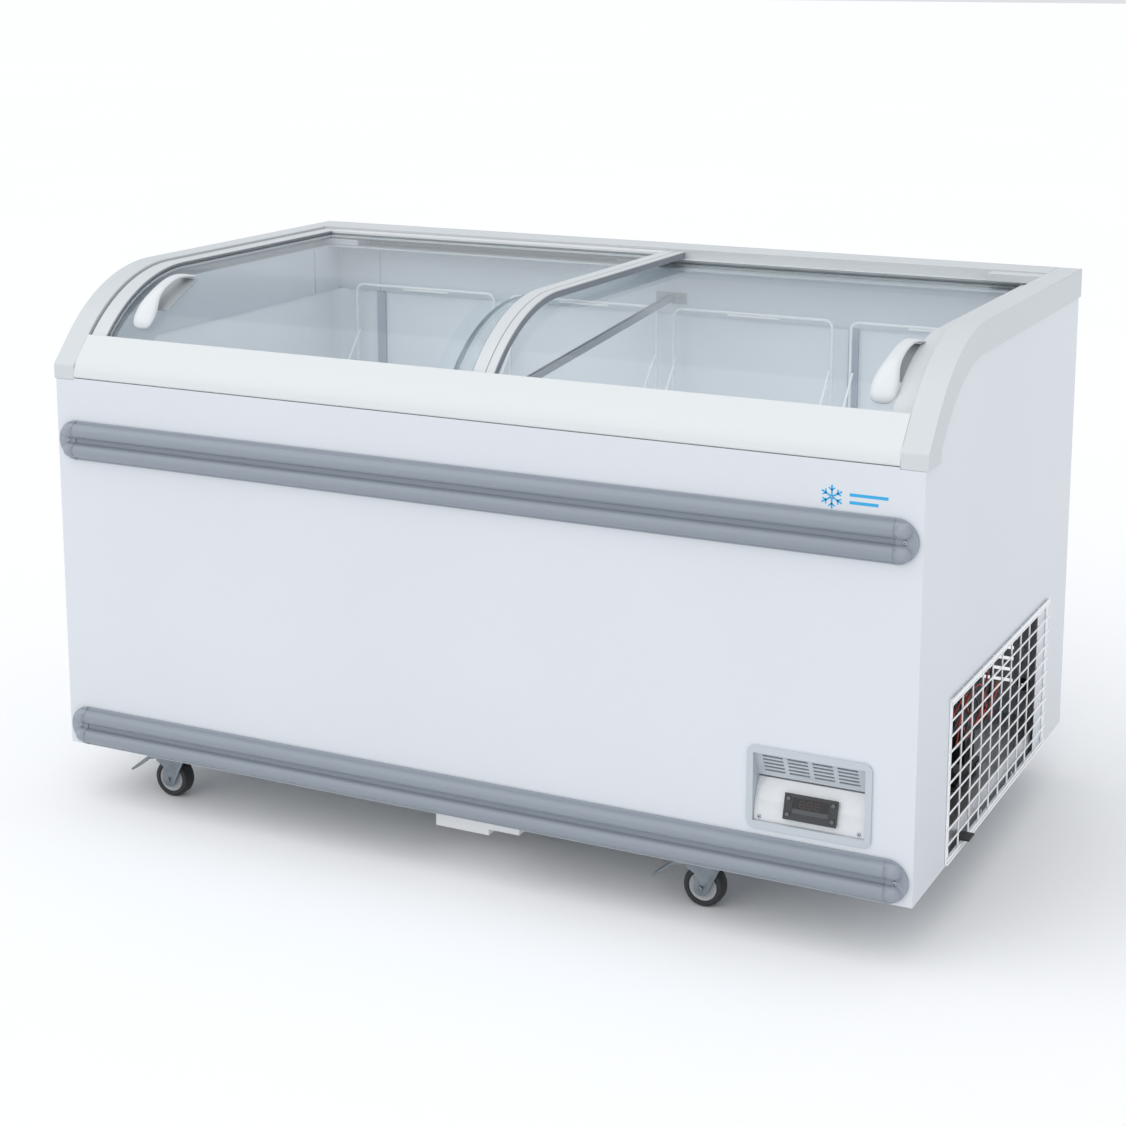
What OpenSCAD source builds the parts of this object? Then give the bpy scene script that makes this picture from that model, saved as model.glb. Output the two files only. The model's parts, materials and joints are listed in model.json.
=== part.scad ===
// Chest display freezer with a curved roofline, two sliding curved-glass lids and swivel casters.
// Millimetres. +X to the right, +Y to the back, +Z up; the origin is on the floor, under the middle.

/* [Overall] */
// Width over the two end trims
body_w = 1500; // [1100:10:2000]
// Depth from the front panel to the back panel, without the bumpers
body_d = 850; // [720:10:1000]
// Height from the floor to the flat top of the trims
body_h = 900; // [750:10:1080]
// Gap between the floor and the cabinet's base
floor_gap = 96; // [90:1:120]

/* [Roofline] */
// Radius of the curved shoulder, seen from the side
roof_r = 300; // [200:5:330]
// Angle of the straight slope below the shoulder
slope_a = 48; // [40:1:52]
// Distance from the front panel to the centre of the shoulder's arc
shoulder_y = 265; // [250:5:320]
// Height of the upright nose of the front trim
nose_h = 21; // [12:1:40]

/* [Walls] */
// Thickness of the outer steel skins
skin_t = 1; // [0.8:0.1:2]
// Thickness of the inner liner
liner_t = 1.5; // [1:0.1:3]
// Outer side face to the liner's inner face
wall_side = 63; // [50:1:90]
// Outer front face to the liner's inner face
wall_front = 70; // [60:1:90]
// Outer back face to the liner's inner face
wall_rear = 70; // [60:1:90]
// Underside of the base to the liner's floor
wall_base = 60; // [45:1:90]
// Rounding of the liner's upright corners
liner_corner_r = 25; // [10:1:60]
// How far the end trims stand out past the side skins
side_inset = 4; // [2:0.5:8]

/* [Machine compartment] */
// Width of the compartment at the right-hand end
machine_w = 315; // [260:5:400]
// Height of the compartment above the base
machine_h = 280; // [265:5:330]
// Thickness of the pressed steel sheet
pan_t = 1.5; // [1:0.1:3]
// Height of the lip along the compartment's open side
pan_lip = 40; // [20:1:60]

/* [Trims and tracks] */
// Width of an end trim
trim_w = 41; // [30:1:60]
// Wall thickness of the extruded trims
trim_t = 3; // [2:0.1:4]
// Depth of the end trims' outer flange
flange_h = 48; // [44:1:60]
// Width of the rear trim, seen from above
rear_trim_w = 80; // [60:1:110]
// Sliding clearance round a lid
lid_gap = 0.5; // [0.3:0.1:1.5]
// Thickness of the ledge between the two lids
ledge_t = 1.5; // [1:0.1:3]

/* [Lids] */
// Thickness of a lid's frame
lid_t = 12; // [10:0.5:16]
// Thickness of the glass
glass_t = 4; // [3:0.5:6]
// Width of the frame strip at a lid's outer end
strip_outer_w = 30; // [20:1:50]
// Width of the frame strip at a lid's meeting end
strip_inner_w = 37; // [20:1:50]
// Width that the closed lids share in the middle
lid_overlap = 110; // [80:5:160]
// Gap between a closed lid and the end trim
lid_end_gap = 4; // [2:0.5:8]
// Travel of each lid
lid_travel = 560; // [300:10:600]

/* [Bumpers] */
// Height of a bumper rail
bumper_h = 66; // [56:1:80]
// How far a bumper stands out from the front panel
bumper_proud = 16; // [15:0.5:24]
// Radius of each barrel of the rail
barrel_r = 12.5; // [8:0.5:14]
// Centre of the lower bumper above the base
bumper_low_z = 35; // [34:1:60]
// Centre of the upper bumper above the base
bumper_high_z = 533; // [420:1:560]

/* [Control panel] */
// Width of the bezel
bezel_w = 190; // [170:1:240]
// Height of the bezel
bezel_h = 126; // [116:1:150]
// Centre of the bezel from the cabinet's middle
bezel_x = 588; // [560:1:620]
// Centre of the bezel above the base
bezel_z = 141; // [136:1:160]

/* [Side grille] */
// Length of the grille along the side
grille_l = 565; // [400:5:600]
// Height of the grille
grille_h = 257; // [200:1:262]
// Front edge of the grille behind the front panel
grille_y = 155; // [120:1:200]
// Diameter of the grille's wires
grille_wire = 2.8; // [2:0.1:4]

/* [Racks] */
// Width of one wire rack
rack_w = 306; // [250:1:318]
// Distance from one rack to the next
rack_pitch = 335; // [325:1:338]
// Diameter of the rack's wires
rack_wire = 5; // [4:0.5:7]
// Height of the racks' back guards above the base
rack_top = 700; // [600:1:705]

/* [Casters] */
// Radius of a wheel
wheel_r = 32.5; // [28:0.5:34]
// Width of a wheel
wheel_w = 28; // [20:1:34]
// Distance from the swivel axis to the wheel's axle
caster_trail = 26; // [18:1:32]
// Swivel axis of the left casters from the cabinet's middle
caster_left_x = 564; // [450:1:600]
// Swivel axis of the right casters from the cabinet's middle
caster_right_x = 424; // [300:1:440]
// Swivel axes of the casters from the front and back faces
caster_y = 78; // [70:1:140]

/* [Hidden] */
$fn = 96;
eps = 0.01;

// Overall places
half_w = body_w / 2;
front_y = (bumper_proud - body_d) / 2;
rear_y = front_y + body_d;
base_z = floor_gap;
skin_x = half_w - side_inset;
inner_x = skin_x - skin_t;

// Roofline: the arc's centre, the point where the slope meets it, and the nose below the slope
arc_y = front_y + shoulder_y;
arc_z = body_h - roof_r;
slope_y = arc_y - roof_r * sin(slope_a);
slope_z = arc_z + roof_r * cos(slope_a);
nose_z = slope_z - (slope_y - front_y) * tan(slope_a);
front_top = nose_z - nose_h;

// Depths below the roofline: upper lid, ledge, lower lid, track floor
upper_d = trim_t + lid_gap;
ledge_d = upper_d + lid_t + lid_gap;
lower_d = ledge_d + ledge_t + lid_gap;
floor_d = lower_d + lid_t + lid_gap;
track_d = floor_d + trim_t;
breaker_d = floor_d + 1;
breaker_t = 3;
foam_d = flange_h;

// Insides of the liner
tub_x = skin_x - wall_side;
tub_front = front_y + wall_front;
tub_rear = rear_y - wall_rear;
tub_floor = base_z + wall_base;
machine_x = inner_x - machine_w;
step_x = machine_x - wall_base;
step_z = base_z + machine_h + 50;
tub_top = body_h - 114;
tub_front_top = front_top - 2;

// Evaporator: one tube wound round the liner
coil_d = 8;
coil_n = 8;
coil_pitch = 38;
coil_z = step_z + 24;
coil_gap = 0.3;
coil_turn_x = 40;

// Lids
lid_x = half_w - trim_w - lid_end_gap;
meet_x = lid_overlap / 2;
glass_bite = 10;
front_tuck = 15;
rail_front_w = 13;
rail_rear_w = 26;
rear_trim_y = rear_y - rear_trim_w;
upper_rear_y = rear_trim_y - 2;
lower_rear_y = rear_trim_y + 25;
glass_inset = (lid_t - glass_t) / 2;

// How far the arc stands out from the flat and the slope, so that each piece of a section crosses the next
arc_lap = 0.01;
lap_a = 4;

// Region under the roofline, drawn as [y, z] and taken in by d, by f at the front and by r at the back
module section(d = 0, f = 0, r = 0, z0 = 0) {
    rr = roof_r - d;
    ty = arc_y - (rr - arc_lap) * sin(slope_a);
    tz = arc_z + (rr - arc_lap) * cos(slope_a);
    fy = front_y + f;
    reach = 2 * roof_r;
    translate([arc_y, z0]) square([rear_y - r - arc_y, body_h - d - arc_lap - z0]);
    intersection() {
        translate([arc_y, arc_z]) circle(r = rr, $fn = 180);
        polygon([[arc_y, arc_z], [arc_y + reach * sin(lap_a), arc_z + reach * cos(lap_a)],
                 [arc_y, arc_z + 2 * reach], [arc_y - reach * sin(slope_a + lap_a), arc_z + reach * cos(slope_a + lap_a)]]);
    }
    polygon([[arc_y + lap_a, z0], [arc_y + lap_a, arc_z], [ty, tz], [fy, tz - (ty - fy) * tan(slope_a)], [fy, z0]]);
}

// Band under the roofline between depths d0 and d1
module band(d0, d1) {
    difference() {
        section(d0);
        section(d1);
    }
}

// Local axes at the top of the slope: x runs up the slope and y out of it
module on_slope() translate([slope_y, slope_z]) rotate(slope_a) children();

// Everything above a line across the slope, s from its top
module above_slope(s) on_slope() translate([s, -2 * body_d]) square([4 * body_d, 3 * body_d]);

// Extrudes a [y, z] drawing from x0 to x1
module along_x(x0, x1) translate([x0, 0, 0]) rotate([90, 0, 90]) linear_extrude(x1 - x0) children();

// Box from one corner to the other
module box(a, b) translate(a) cube(b - a);

module rounded_rect(w, h, r) {
    translate([r, 0]) square([w - 2 * r, h]);
    translate([0, r]) square([w, h - 2 * r]);
    for (x = [r, w - r], y = [r, h - r]) translate([x, y]) circle(r = r);
}

// Straight round rod between two points, with round ends where ball is true
module rod(a, b, d, ball = false) {
    v = b - a;
    len = norm(v);
    translate(a) rotate([0, acos(v[2] / len), atan2(v[1], v[0])]) cylinder(d = d, h = len, $fn = 24);
    if (ball) for (p = [a, b]) translate(p) sphere(d = d, $fn = 24);
}

// Rods end to end along a list of points, with a ball at each bend
module rod_path(points, d, ball_d = 0) {
    for (i = [0 : len(points) - 2]) rod(points[i], points[i + 1], d);
    for (i = [1 : len(points) - 2]) translate(points[i]) sphere(d = max(d, ball_d), $fn = 24);
}

// ---- Outer skins -------------------------------------------------------------------------

bezel_hole_w = bezel_w - 20;
bezel_hole_h = bezel_h - 22;

module front_panel() color("whitesmoke") difference() {
    box([-skin_x, front_y, base_z], [skin_x, front_y + skin_t, front_top]);
    // The end trims hook over its top corners
    for (s = [-1, 1]) box([s * (half_w - trim_w / 2) - trim_w / 2 - eps, front_y - 1, front_top - trim_t - eps],
                          [s * (half_w - trim_w / 2) + trim_w / 2 + eps, front_y + skin_t + 1, front_top + 1]);
    box([bezel_x - bezel_hole_w / 2 - 1, front_y - 1, base_z + bezel_z - bezel_hole_h / 2 - 1],
        [bezel_x + bezel_hole_w / 2 + 1, front_y + skin_t + 1, base_z + bezel_z + bezel_hole_h / 2 + 1]);
}

module side_skin() along_x(inner_x, skin_x) difference() {
    section(trim_t + 3, skin_t, skin_t, base_z);
    // Notches for the front and rear legs of the end trim
    translate([front_y - 1, front_top - trim_t - 0.2]) square([trim_t + 1.2, body_h]);
    translate([rear_y - trim_t - 0.2, body_h - flange_h - 0.2]) square([trim_t + 1.2, body_h]);
}

module left_side_panel() color("whitesmoke") mirror([1, 0, 0]) side_skin();

grille_open_rear = 50;
grille_open_edge = 12;

module right_side_panel() color("whitesmoke") difference() {
    side_skin();
    box([inner_x - 1, front_y + grille_y + grille_open_edge, base_z + grille_open_edge],
        [skin_x + 1, front_y + grille_y + grille_l - grille_open_rear, base_z + grille_h - 2]);
}

rear_vent_n = 9;

module rear_panel() color("whitesmoke") difference() {
    box([-skin_x, rear_y - skin_t, base_z], [skin_x, rear_y, body_h - flange_h]);
    for (i = [0 : rear_vent_n - 1])
        box([machine_x + 50, rear_y - skin_t - 1, base_z + 60 + 20 * i],
            [machine_x + 230, rear_y + 1, base_z + 66 + 20 * i]);
    translate([gland_x, rear_y - skin_t - 1, gland_z]) rotate([-90, 0, 0])
        cylinder(d = gland_d + 1, h = skin_t + 2);
}

// ---- Base, machine compartment and drain --------------------------------------------------

drain_x = 20;
drain_y = front_y + 150;
drain_d = 30;
tray_w = 165;
tray_x = 12;
tray_y = front_y + 60;
tray_l = 150;
tray_rim = 6;
tray_top = base_z - 14;
rail_t = 1.5;

module tray_rail(side) {
    x = tray_x + side * (tray_w / 2 + 1);
    x_out = x + side * rail_t;
    x_in = x - side * tray_rim;
    box([min(x, x_out), tray_y, tray_top - 4], [max(x, x_out), tray_y + tray_l, base_z]);
    box([min(x_in, x_out), tray_y, tray_top - 4], [max(x_in, x_out), tray_y + tray_l, tray_top - 4 + rail_t]);
}

module base_pan() color("silver") {
    difference() {
        union() {
            box([-inner_x, front_y + skin_t, base_z], [inner_x, rear_y - skin_t, base_z + pan_t]);
            box([machine_x, front_y + skin_t, base_z],
                [machine_x + pan_t, rear_y - skin_t, base_z + machine_h]);
            box([machine_x, front_y + skin_t, base_z + machine_h - pan_t],
                [inner_x, rear_y - skin_t, base_z + machine_h]);
            box([inner_x - 8, front_y + grille_y - 20, base_z],
                [inner_x - 8 + pan_t, front_y + grille_y + grille_l, base_z + pan_lip]);
            for (side = [-1, 1]) tray_rail(side);
        }
        translate([drain_x, drain_y, base_z - 1]) cylinder(d = drain_d + 0.6, h = pan_t + 2);
    }
}

module drain_pipe() color("white") difference() {
    translate([drain_x, drain_y, base_z - 10]) cylinder(d = drain_d, h = wall_base + 10 - liner_t);
    translate([drain_x, drain_y, base_z - 11]) cylinder(d = drain_d - 5, h = wall_base + 20);
}

module drain_plug() color("dimgray") {
    translate([drain_x, drain_y, tub_floor + 0.3]) cylinder(d = drain_d + 10, h = 4);
    translate([drain_x, drain_y, tub_floor - 14]) cylinder(d = drain_d - 6, h = 14 + 0.31);
    translate([drain_x, drain_y, tub_floor + 4]) cylinder(d = 8, h = 12);
}

module drain_tray() color("white") difference() {
    union() {
        // Deep basin, shallow side and the rim that hangs on the rails
        box([tray_x - tray_w / 2 + tray_rim + 1, tray_y, tray_top - 34],
            [tray_x + tray_w / 8, tray_y + tray_l, tray_top]);
        box([tray_x + tray_w / 8, tray_y, tray_top - 24],
            [tray_x + tray_w / 2 - tray_rim - 1, tray_y + tray_l, tray_top]);
        box([tray_x - tray_w / 2, tray_y, tray_top - 2], [tray_x + tray_w / 2, tray_y + tray_l, tray_top]);
    }
    box([tray_x - tray_w / 2 + tray_rim + 3, tray_y + 2, tray_top - 32],
        [tray_x + tray_w / 8 - 2, tray_y + tray_l - 2, tray_top + 1]);
    box([tray_x + tray_w / 8 - 3, tray_y + 2, tray_top - 22],
        [tray_x + tray_w / 2 - tray_rim - 3, tray_y + tray_l - 2, tray_top + 1]);
}

// ---- Liner, insulation and evaporator -----------------------------------------------------

// The tub's inside, grown by g, with the raised floor over the machine compartment
module tub(g) {
    r = liner_corner_r + g;
    top = tub_top + 200;
    translate([-tub_x - g, tub_front - g, tub_floor - g])
        linear_extrude(top - tub_floor)
            rounded_rect(tub_x + step_x + 2 * g, tub_rear - tub_front + 2 * g, r);
    translate([-tub_x - g, tub_front - g, step_z - g])
        linear_extrude(top - step_z)
            rounded_rect(2 * tub_x + 2 * g, tub_rear - tub_front + 2 * g, r);
}

// Everything above the liner's rim: level at the back, dropping towards the front
module above_rim(drop = 0) {
    bend_y = front_y + 135;
    polygon([[front_y - 50, tub_front_top - drop], [bend_y, tub_front_top - drop],
             [bend_y + tub_top - tub_front_top, tub_top - drop], [rear_y + 50, tub_top - drop],
             [rear_y + 50, body_h + 300], [front_y - 50, body_h + 300]]);
}

// Space of the breaker panels: the tub's full square outline from just below the rim upwards
module breaker_space() intersection() {
    along_x(-tub_x - eps, tub_x + eps) above_rim(6 + eps);
    box([-half_w, tub_front - eps, base_z], [half_w, tub_rear + eps, body_h + 300]);
}

module inner_liner() color("white") difference() {
    tub(liner_t);
    tub(0);
    along_x(-half_w, half_w) above_rim();
    breaker_space();
    translate([drain_x, drain_y, tub_floor - 5]) cylinder(d = drain_d - 4, h = 10);
}

// Walls of foam round the tub, as [low, high] corners: floor, front, rear, ends, and the raised floor's two
foam_x = tub_x + liner_t;
foam_front = tub_front - liner_t;
foam_rear = tub_rear + liner_t;
foam_floor = tub_floor - liner_t;
foam_step = step_z - liner_t;
foam_roof = base_z + machine_h;
foam_top = body_h + 10;
foam_blocks = [
    [[-half_w, front_y, base_z], [machine_x, rear_y, foam_floor]],
    [[-half_w, front_y, foam_floor], [machine_x, foam_front, foam_top]],
    [[machine_x, front_y, foam_roof], [half_w, foam_front, foam_top]],
    [[-half_w, foam_rear, foam_floor], [machine_x, rear_y, foam_top]],
    [[machine_x, foam_rear, foam_roof], [half_w, rear_y, foam_top]],
    [[-half_w, foam_front, foam_floor], [-foam_x, foam_rear, foam_top]],
    [[foam_x, foam_front, foam_roof], [half_w, foam_rear, foam_top]],
    [[step_x + liner_t, foam_front, foam_floor], [machine_x, foam_rear, foam_step]],
    [[machine_x, foam_front, foam_roof], [foam_x, foam_rear, foam_step]]];

// The foam stands square behind the liner's rounded corners, and is drawn as walls that meet face to face
module foam_insulation() color("khaki") for (b = foam_blocks) difference() {
    intersection() {
        along_x(-inner_x + eps, inner_x - eps) section(foam_d, skin_t, skin_t, base_z + pan_t);
        box([for (v = b[0]) v + eps], [for (v = b[1]) v - eps]);
    }
    for (i = [0 : coil_n - 1])
        translate([-coil_out_x, coil_out_front, coil_z + coil_pitch * i - coil_d / 2 - 0.5])
            cube([2 * coil_out_x, coil_out_rear - coil_out_front, coil_d + 1]);
    box([-coil_turn_x - 20, tub_rear, coil_z], [coil_turn_x + 20, coil_out_rear, coil_z + coil_pitch * (coil_n - 1)]);
    translate([drain_x, drain_y, base_z]) cylinder(d = drain_d + 0.6, h = wall_base + 5);
}

coil_line = liner_t + coil_gap + coil_d / 2;
coil_out_x = tub_x + coil_line + coil_d / 2 + 0.5;
coil_out_front = tub_front - coil_line - coil_d / 2 - 0.5;
coil_out_rear = tub_rear + coil_line + coil_d / 2 + 0.5;

// One turn of tube round the tub, open at the back between its two ends
module coil_turn() {
    x = tub_x + coil_line;
    y0 = tub_front - coil_line;
    y1 = tub_rear + coil_line;
    r = liner_corner_r + coil_line;
    for (s = [-1, 1]) {
        rod([s * coil_turn_x, y1, 0], [s * (x - r), y1, 0], coil_d);
        rod([s * x, y1 - r, 0], [s * x, y0 + r, 0], coil_d);
        translate([s * (x - r), y1 - r, 0]) rotate([0, 0, s > 0 ? 0 : 90]) coil_bend(r);
        translate([s * (x - r), y0 + r, 0]) rotate([0, 0, s > 0 ? 270 : 180]) coil_bend(r);
    }
    rod([-x + r, y0, 0], [x - r, y0, 0], coil_d);
}

module coil_bend(r, a = 90) rotate_extrude(angle = a) translate([r, 0]) circle(d = coil_d, $fn = 24);

module evaporator_coil() color("silver") {
    for (i = [0 : coil_n - 1]) translate([0, 0, coil_z + coil_pitch * i]) coil_turn();
    // Return bends, on the left and right end of the gap in turn
    for (i = [0 : coil_n - 2])
        translate([(i % 2 == 0 ? -1 : 1) * coil_turn_x, tub_rear + coil_line, coil_z + coil_pitch * (i + 0.5)])
            rotate([90, 0, 0]) rotate([0, 0, i % 2 == 0 ? 270 : 90]) coil_bend(coil_pitch / 2, 180);
}

// ---- Breaker panels: the grey lining between the liner and the lids ------------------------

module breaker_side() {
    track_y = rear_trim_y - track_lip - eps;
    along_x(tub_x - breaker_t, tub_x) difference() {
        intersection() {
            section(breaker_d, skin_t, wall_rear + breaker_t, base_z);
            translate([tub_front, base_z]) square([body_d, body_h]);
            above_rim(6);
        }
        translate([track_y, body_h - track_d]) square([rear_trim_w, track_d]);
    }
    along_x(tub_x - breaker_t, half_w - trim_w - eps) intersection() {
        band(breaker_d, breaker_d + 2.5);
        translate([tub_front, base_z]) square([track_y - tub_front, body_h]);
    }
}

module breaker_panels() color("gainsboro") {
    breaker_side();
    mirror([1, 0, 0]) breaker_side();
    box([-tub_x, tub_rear - breaker_t, tub_top - 6], [tub_x, tub_rear, body_h - track_d - 0.5]);
    front_top_z = slope_z - (track_d + 3) * cos(slope_a) - 8;
    box([-tub_x + breaker_t + eps, tub_front, tub_front_top - 6],
        [tub_x - breaker_t - eps, tub_front + breaker_t, front_top_z]);
}

conduit_w = 18;

module conduit_covers() color("lightgray")
    for (x = [-586, step_x + 4])
        box([x - conduit_w / 2, tub_rear - 5, x > 0 ? step_z + 0.3 : tub_floor + 0.3],
            [x + conduit_w / 2, tub_rear - eps, tub_top - 6.5]);

// ---- Trims and tracks ----------------------------------------------------------------------

flange_front = 58;

module end_flange() difference() {
    section(0);
    section(flange_h, flange_front);
    translate([front_y - 1, 0]) square([body_d + 2, front_top - trim_t]);
}

module end_trim() {
    seam_x = half_w - trim_w;
    along_x(half_w - side_inset, half_w) end_flange();
    along_x(seam_x, half_w) intersection() {
        end_flange();
        difference() {
            section(0);
            section(trim_t, trim_t, trim_t);
        }
    }
    along_x(seam_x, seam_x + trim_t) intersection() {
        end_flange();
        difference() {
            section(0);
            section(track_d + 2, 40);
        }
    }
}

stop_w = 92;

module right_end_trim() color("lightgray") {
    end_trim();
    // Stop for the upper lid
    box([half_w - trim_w - stop_w, rear_trim_y - 28, body_h - ledge_d + lid_gap],
        [half_w - trim_w - eps, rear_trim_y - lid_gap, body_h - 1.5]);
}

module left_end_trim() color("lightgray") {
    mirror([1, 0, 0]) end_trim();
    // Stop for the lower lid
    box([-half_w + trim_w + eps, rear_trim_y - 28, body_h - floor_d + lid_gap],
        [-half_w + trim_w + stop_w, lower_rear_y, body_h - lower_d - lid_gap]);
}

track_end = 18;
track_lip = 35;

module front_trim() color("gainsboro") along_x(-half_w + trim_w + eps, half_w - trim_w - eps) {
    // Skin from the nose up to the lip over the lids
    difference() {
        intersection() {
            section(0);
            translate([front_y - 1, front_top]) square([body_d, body_h]);
        }
        section(trim_t, trim_t);
        above_slope(0);
    }
    on_slope() {
        translate([-track_end - trim_t, -track_d]) square([trim_t, track_d - trim_t / 2]);
        translate([-track_end - eps, -ledge_d - ledge_t]) square([track_end - 2, ledge_t]);
        translate([-track_end - eps, -track_d]) square([track_end + 4, trim_t]);
    }
    translate([front_y + eps, front_top]) square([24, trim_t]);
}

module rear_track() color("gainsboro") along_x(-half_w + trim_w + eps, half_w - trim_w - eps) {
    web_y = lower_rear_y + 2;
    translate([rear_trim_y, body_h - trim_t]) square([rear_trim_w, trim_t]);
    translate([rear_trim_y, body_h - ledge_d - ledge_t]) square([trim_t, ledge_d + ledge_t]);
    translate([rear_trim_y - 12, body_h - ledge_d - ledge_t]) square([12 + trim_t, ledge_t]);
    translate([web_y, body_h - flange_h]) square([trim_t, flange_h]);
    translate([rear_trim_y - track_lip, body_h - track_d])
        square([web_y + trim_t - rear_trim_y + track_lip, trim_t]);
    translate([web_y, body_h - flange_h]) square([rear_y - web_y, trim_t]);
    translate([rear_y - trim_t, body_h - flange_h]) square([trim_t, flange_h]);
}

// ---- Lids ------------------------------------------------------------------------------------

// Slice of a lid between depths d0 and d1, from s up the slope to the back at y1
module lid_slice(d0, d1, s, y1) intersection() {
    band(d0, d1);
    above_slope(s);
    translate([front_y, 0]) square([y1 - front_y, body_h]);
}

module lid_glass_body(d, x0, x1, y1)
    along_x(x0, x1) lid_slice(d + glass_inset, d + glass_inset + glass_t, -front_tuck + 5, y1 - rail_rear_w + glass_bite);

module lid_side_profiles(d, x0, x1, w0, w1, y1) difference() {
    union() {
        along_x(x0, x0 + w0) lid_slice(d, d + lid_t, -front_tuck, y1);
        along_x(x1 - w1, x1) lid_slice(d, d + lid_t, -front_tuck, y1);
    }
    lid_glass_body(d, x0 + w0 - glass_bite, x1 - w1 + glass_bite, y1);
}

module lid_rails(d, x0, x1, w0, w1, y1) difference() {
    along_x(x0 + w0, x1 - w1) {
        difference() {
            lid_slice(d, d + lid_t, -front_tuck, y1);
            above_slope(-front_tuck + rail_front_w);
        }
        lid_slice_rear(d, y1);
    }
    lid_glass_body(d, x0 + w0 - glass_bite, x1 - w1 + glass_bite, y1);
}

module lid_slice_rear(d, y1) translate([y1 - rail_rear_w, body_h - d - lid_t]) square([rail_rear_w, lid_t]);

// Handle: an arched pull on a lid's glass, its left edge at x, open from side to side for the fingers
handle_low = 44;

function on_face(d, s, h) = let (a = handle_low - s / (roof_r - d) * 180 / PI)
    [arc_y - (roof_r - d + h) * sin(a), arc_z + (roof_r - d + h) * cos(a)];

module face_ball(d, x, s, h, r) {
    p = on_face(d, s, h);
    translate([x, p[0], p[1]]) sphere(r = r, $fn = 32);
}

module lid_handle(d, x) difference() {
    hull() {
        for (dx = [16, 56]) {
            face_ball(d, x + dx, 26, 2, 12);
            face_ball(d, x + dx, 84, 12, 14);
            face_ball(d, x + dx, 142, 2, 12);
        }
        face_ball(d, x + 36, 12, 0, 10);
        face_ball(d, x + 36, 158, 0, 10);
    }
    hull() for (dx = [-20, 92]) {
        face_ball(d, x + dx, 56, 0, 12);
        face_ball(d, x + dx, 84, 4, 12);
        face_ball(d, x + dx, 112, 0, 12);
    }
    along_x(x - 50, x + 120) section(d + glass_inset - 0.1);
    for (side = [-1, 1]) translate([side * (lid_x - strip_outer_w / 2), 0, 0])
        along_x(-strip_outer_w / 2 - 0.3, strip_outer_w / 2 + 0.3) section(d - 0.1);
}

module left_lid_glass() color([0.8, 0.9, 0.9, 0.3])
    lid_glass_body(upper_d, -lid_x + strip_outer_w - glass_bite, meet_x - strip_inner_w + glass_bite, upper_rear_y);

module left_lid_side_profiles() color("lightgray")
    lid_side_profiles(upper_d, -lid_x, meet_x, strip_outer_w, strip_inner_w, upper_rear_y);

module left_lid_rails() color("gainsboro")
    lid_rails(upper_d, -lid_x, meet_x, strip_outer_w, strip_inner_w, upper_rear_y);

module left_lid_handle() color("whitesmoke") lid_handle(upper_d, -lid_x + 62);

module right_lid_glass() color([0.8, 0.9, 0.9, 0.3])
    lid_glass_body(lower_d, -meet_x + strip_inner_w - glass_bite, lid_x - strip_outer_w + glass_bite, lower_rear_y);

module right_lid_side_profiles() color("lightgray")
    lid_side_profiles(lower_d, -meet_x, lid_x, strip_inner_w, strip_outer_w, lower_rear_y);

module right_lid_rails() color("gainsboro")
    lid_rails(lower_d, -meet_x, lid_x, strip_inner_w, strip_outer_w, lower_rear_y);

module right_lid_handle() color("whitesmoke") lid_handle(lower_d, lid_x - 76);

// ---- Bumpers ---------------------------------------------------------------------------------

rail_half = half_w - 43;
cap_l = 34;
bumper_base_t = 4;
barrel_z = bumper_h / 2 - barrel_r - 4;
barrel_y = barrel_r - bumper_proud;

module bumper_rail(z) translate([0, front_y, base_z + z]) along_x(-rail_half, rail_half) {
    translate([-bumper_base_t, -bumper_h / 2]) square([bumper_base_t, bumper_h]);
    difference() {
        for (s = [-1, 1]) translate([barrel_y, s * barrel_z]) circle(r = barrel_r);
        translate([0, -bumper_h]) square([bumper_h, 2 * bumper_h]);
    }
}

module upper_bumper() color("slategray") bumper_rail(bumper_high_z);

module lower_bumper() color("slategray") bumper_rail(bumper_low_z);

module end_cap() difference() {
    union() {
        rotate([90, 0, 0]) cylinder(r = bumper_h / 2, h = bumper_base_t + 1);
        for (s = [-1, 1]) translate([0, barrel_y, s * barrel_z]) {
            rotate([0, 90, 0]) cylinder(r = barrel_r, h = cap_l - 22);
            translate([cap_l - 22, 0, 0]) sphere(r = barrel_r);
        }
    }
    box([-bumper_h, -bumper_h, -bumper_h], [0.01, bumper_h, bumper_h]);
    box([-bumper_h, 0, -bumper_h], [bumper_h, bumper_h, bumper_h]);
}

module bumper_end_caps() color("slategray")
    for (side = [0, 1], z = [bumper_low_z, bumper_high_z])
        mirror([side, 0, 0]) translate([rail_half, front_y, base_z + z]) end_cap();

// ---- Control panel ---------------------------------------------------------------------------

bezel_t = 3;
recess_d = 38;
vent_cols = 4;
vent_rows = 5;
vent_lo = [21, bezel_z + 14];
vent_hi = [5, bezel_z + bezel_hole_h / 2 - 4];
vent_l = norm(vent_hi - vent_lo);
vent_a = atan2(vent_hi[1] - vent_lo[1], vent_lo[0] - vent_hi[0]);
fascia_r = 100;
fascia_t = 2.5;
fascia_lo = bezel_z - bezel_hole_h / 2;
fascia_hi = bezel_z + 8;
fascia_y = front_y + fascia_r + 2;

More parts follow.
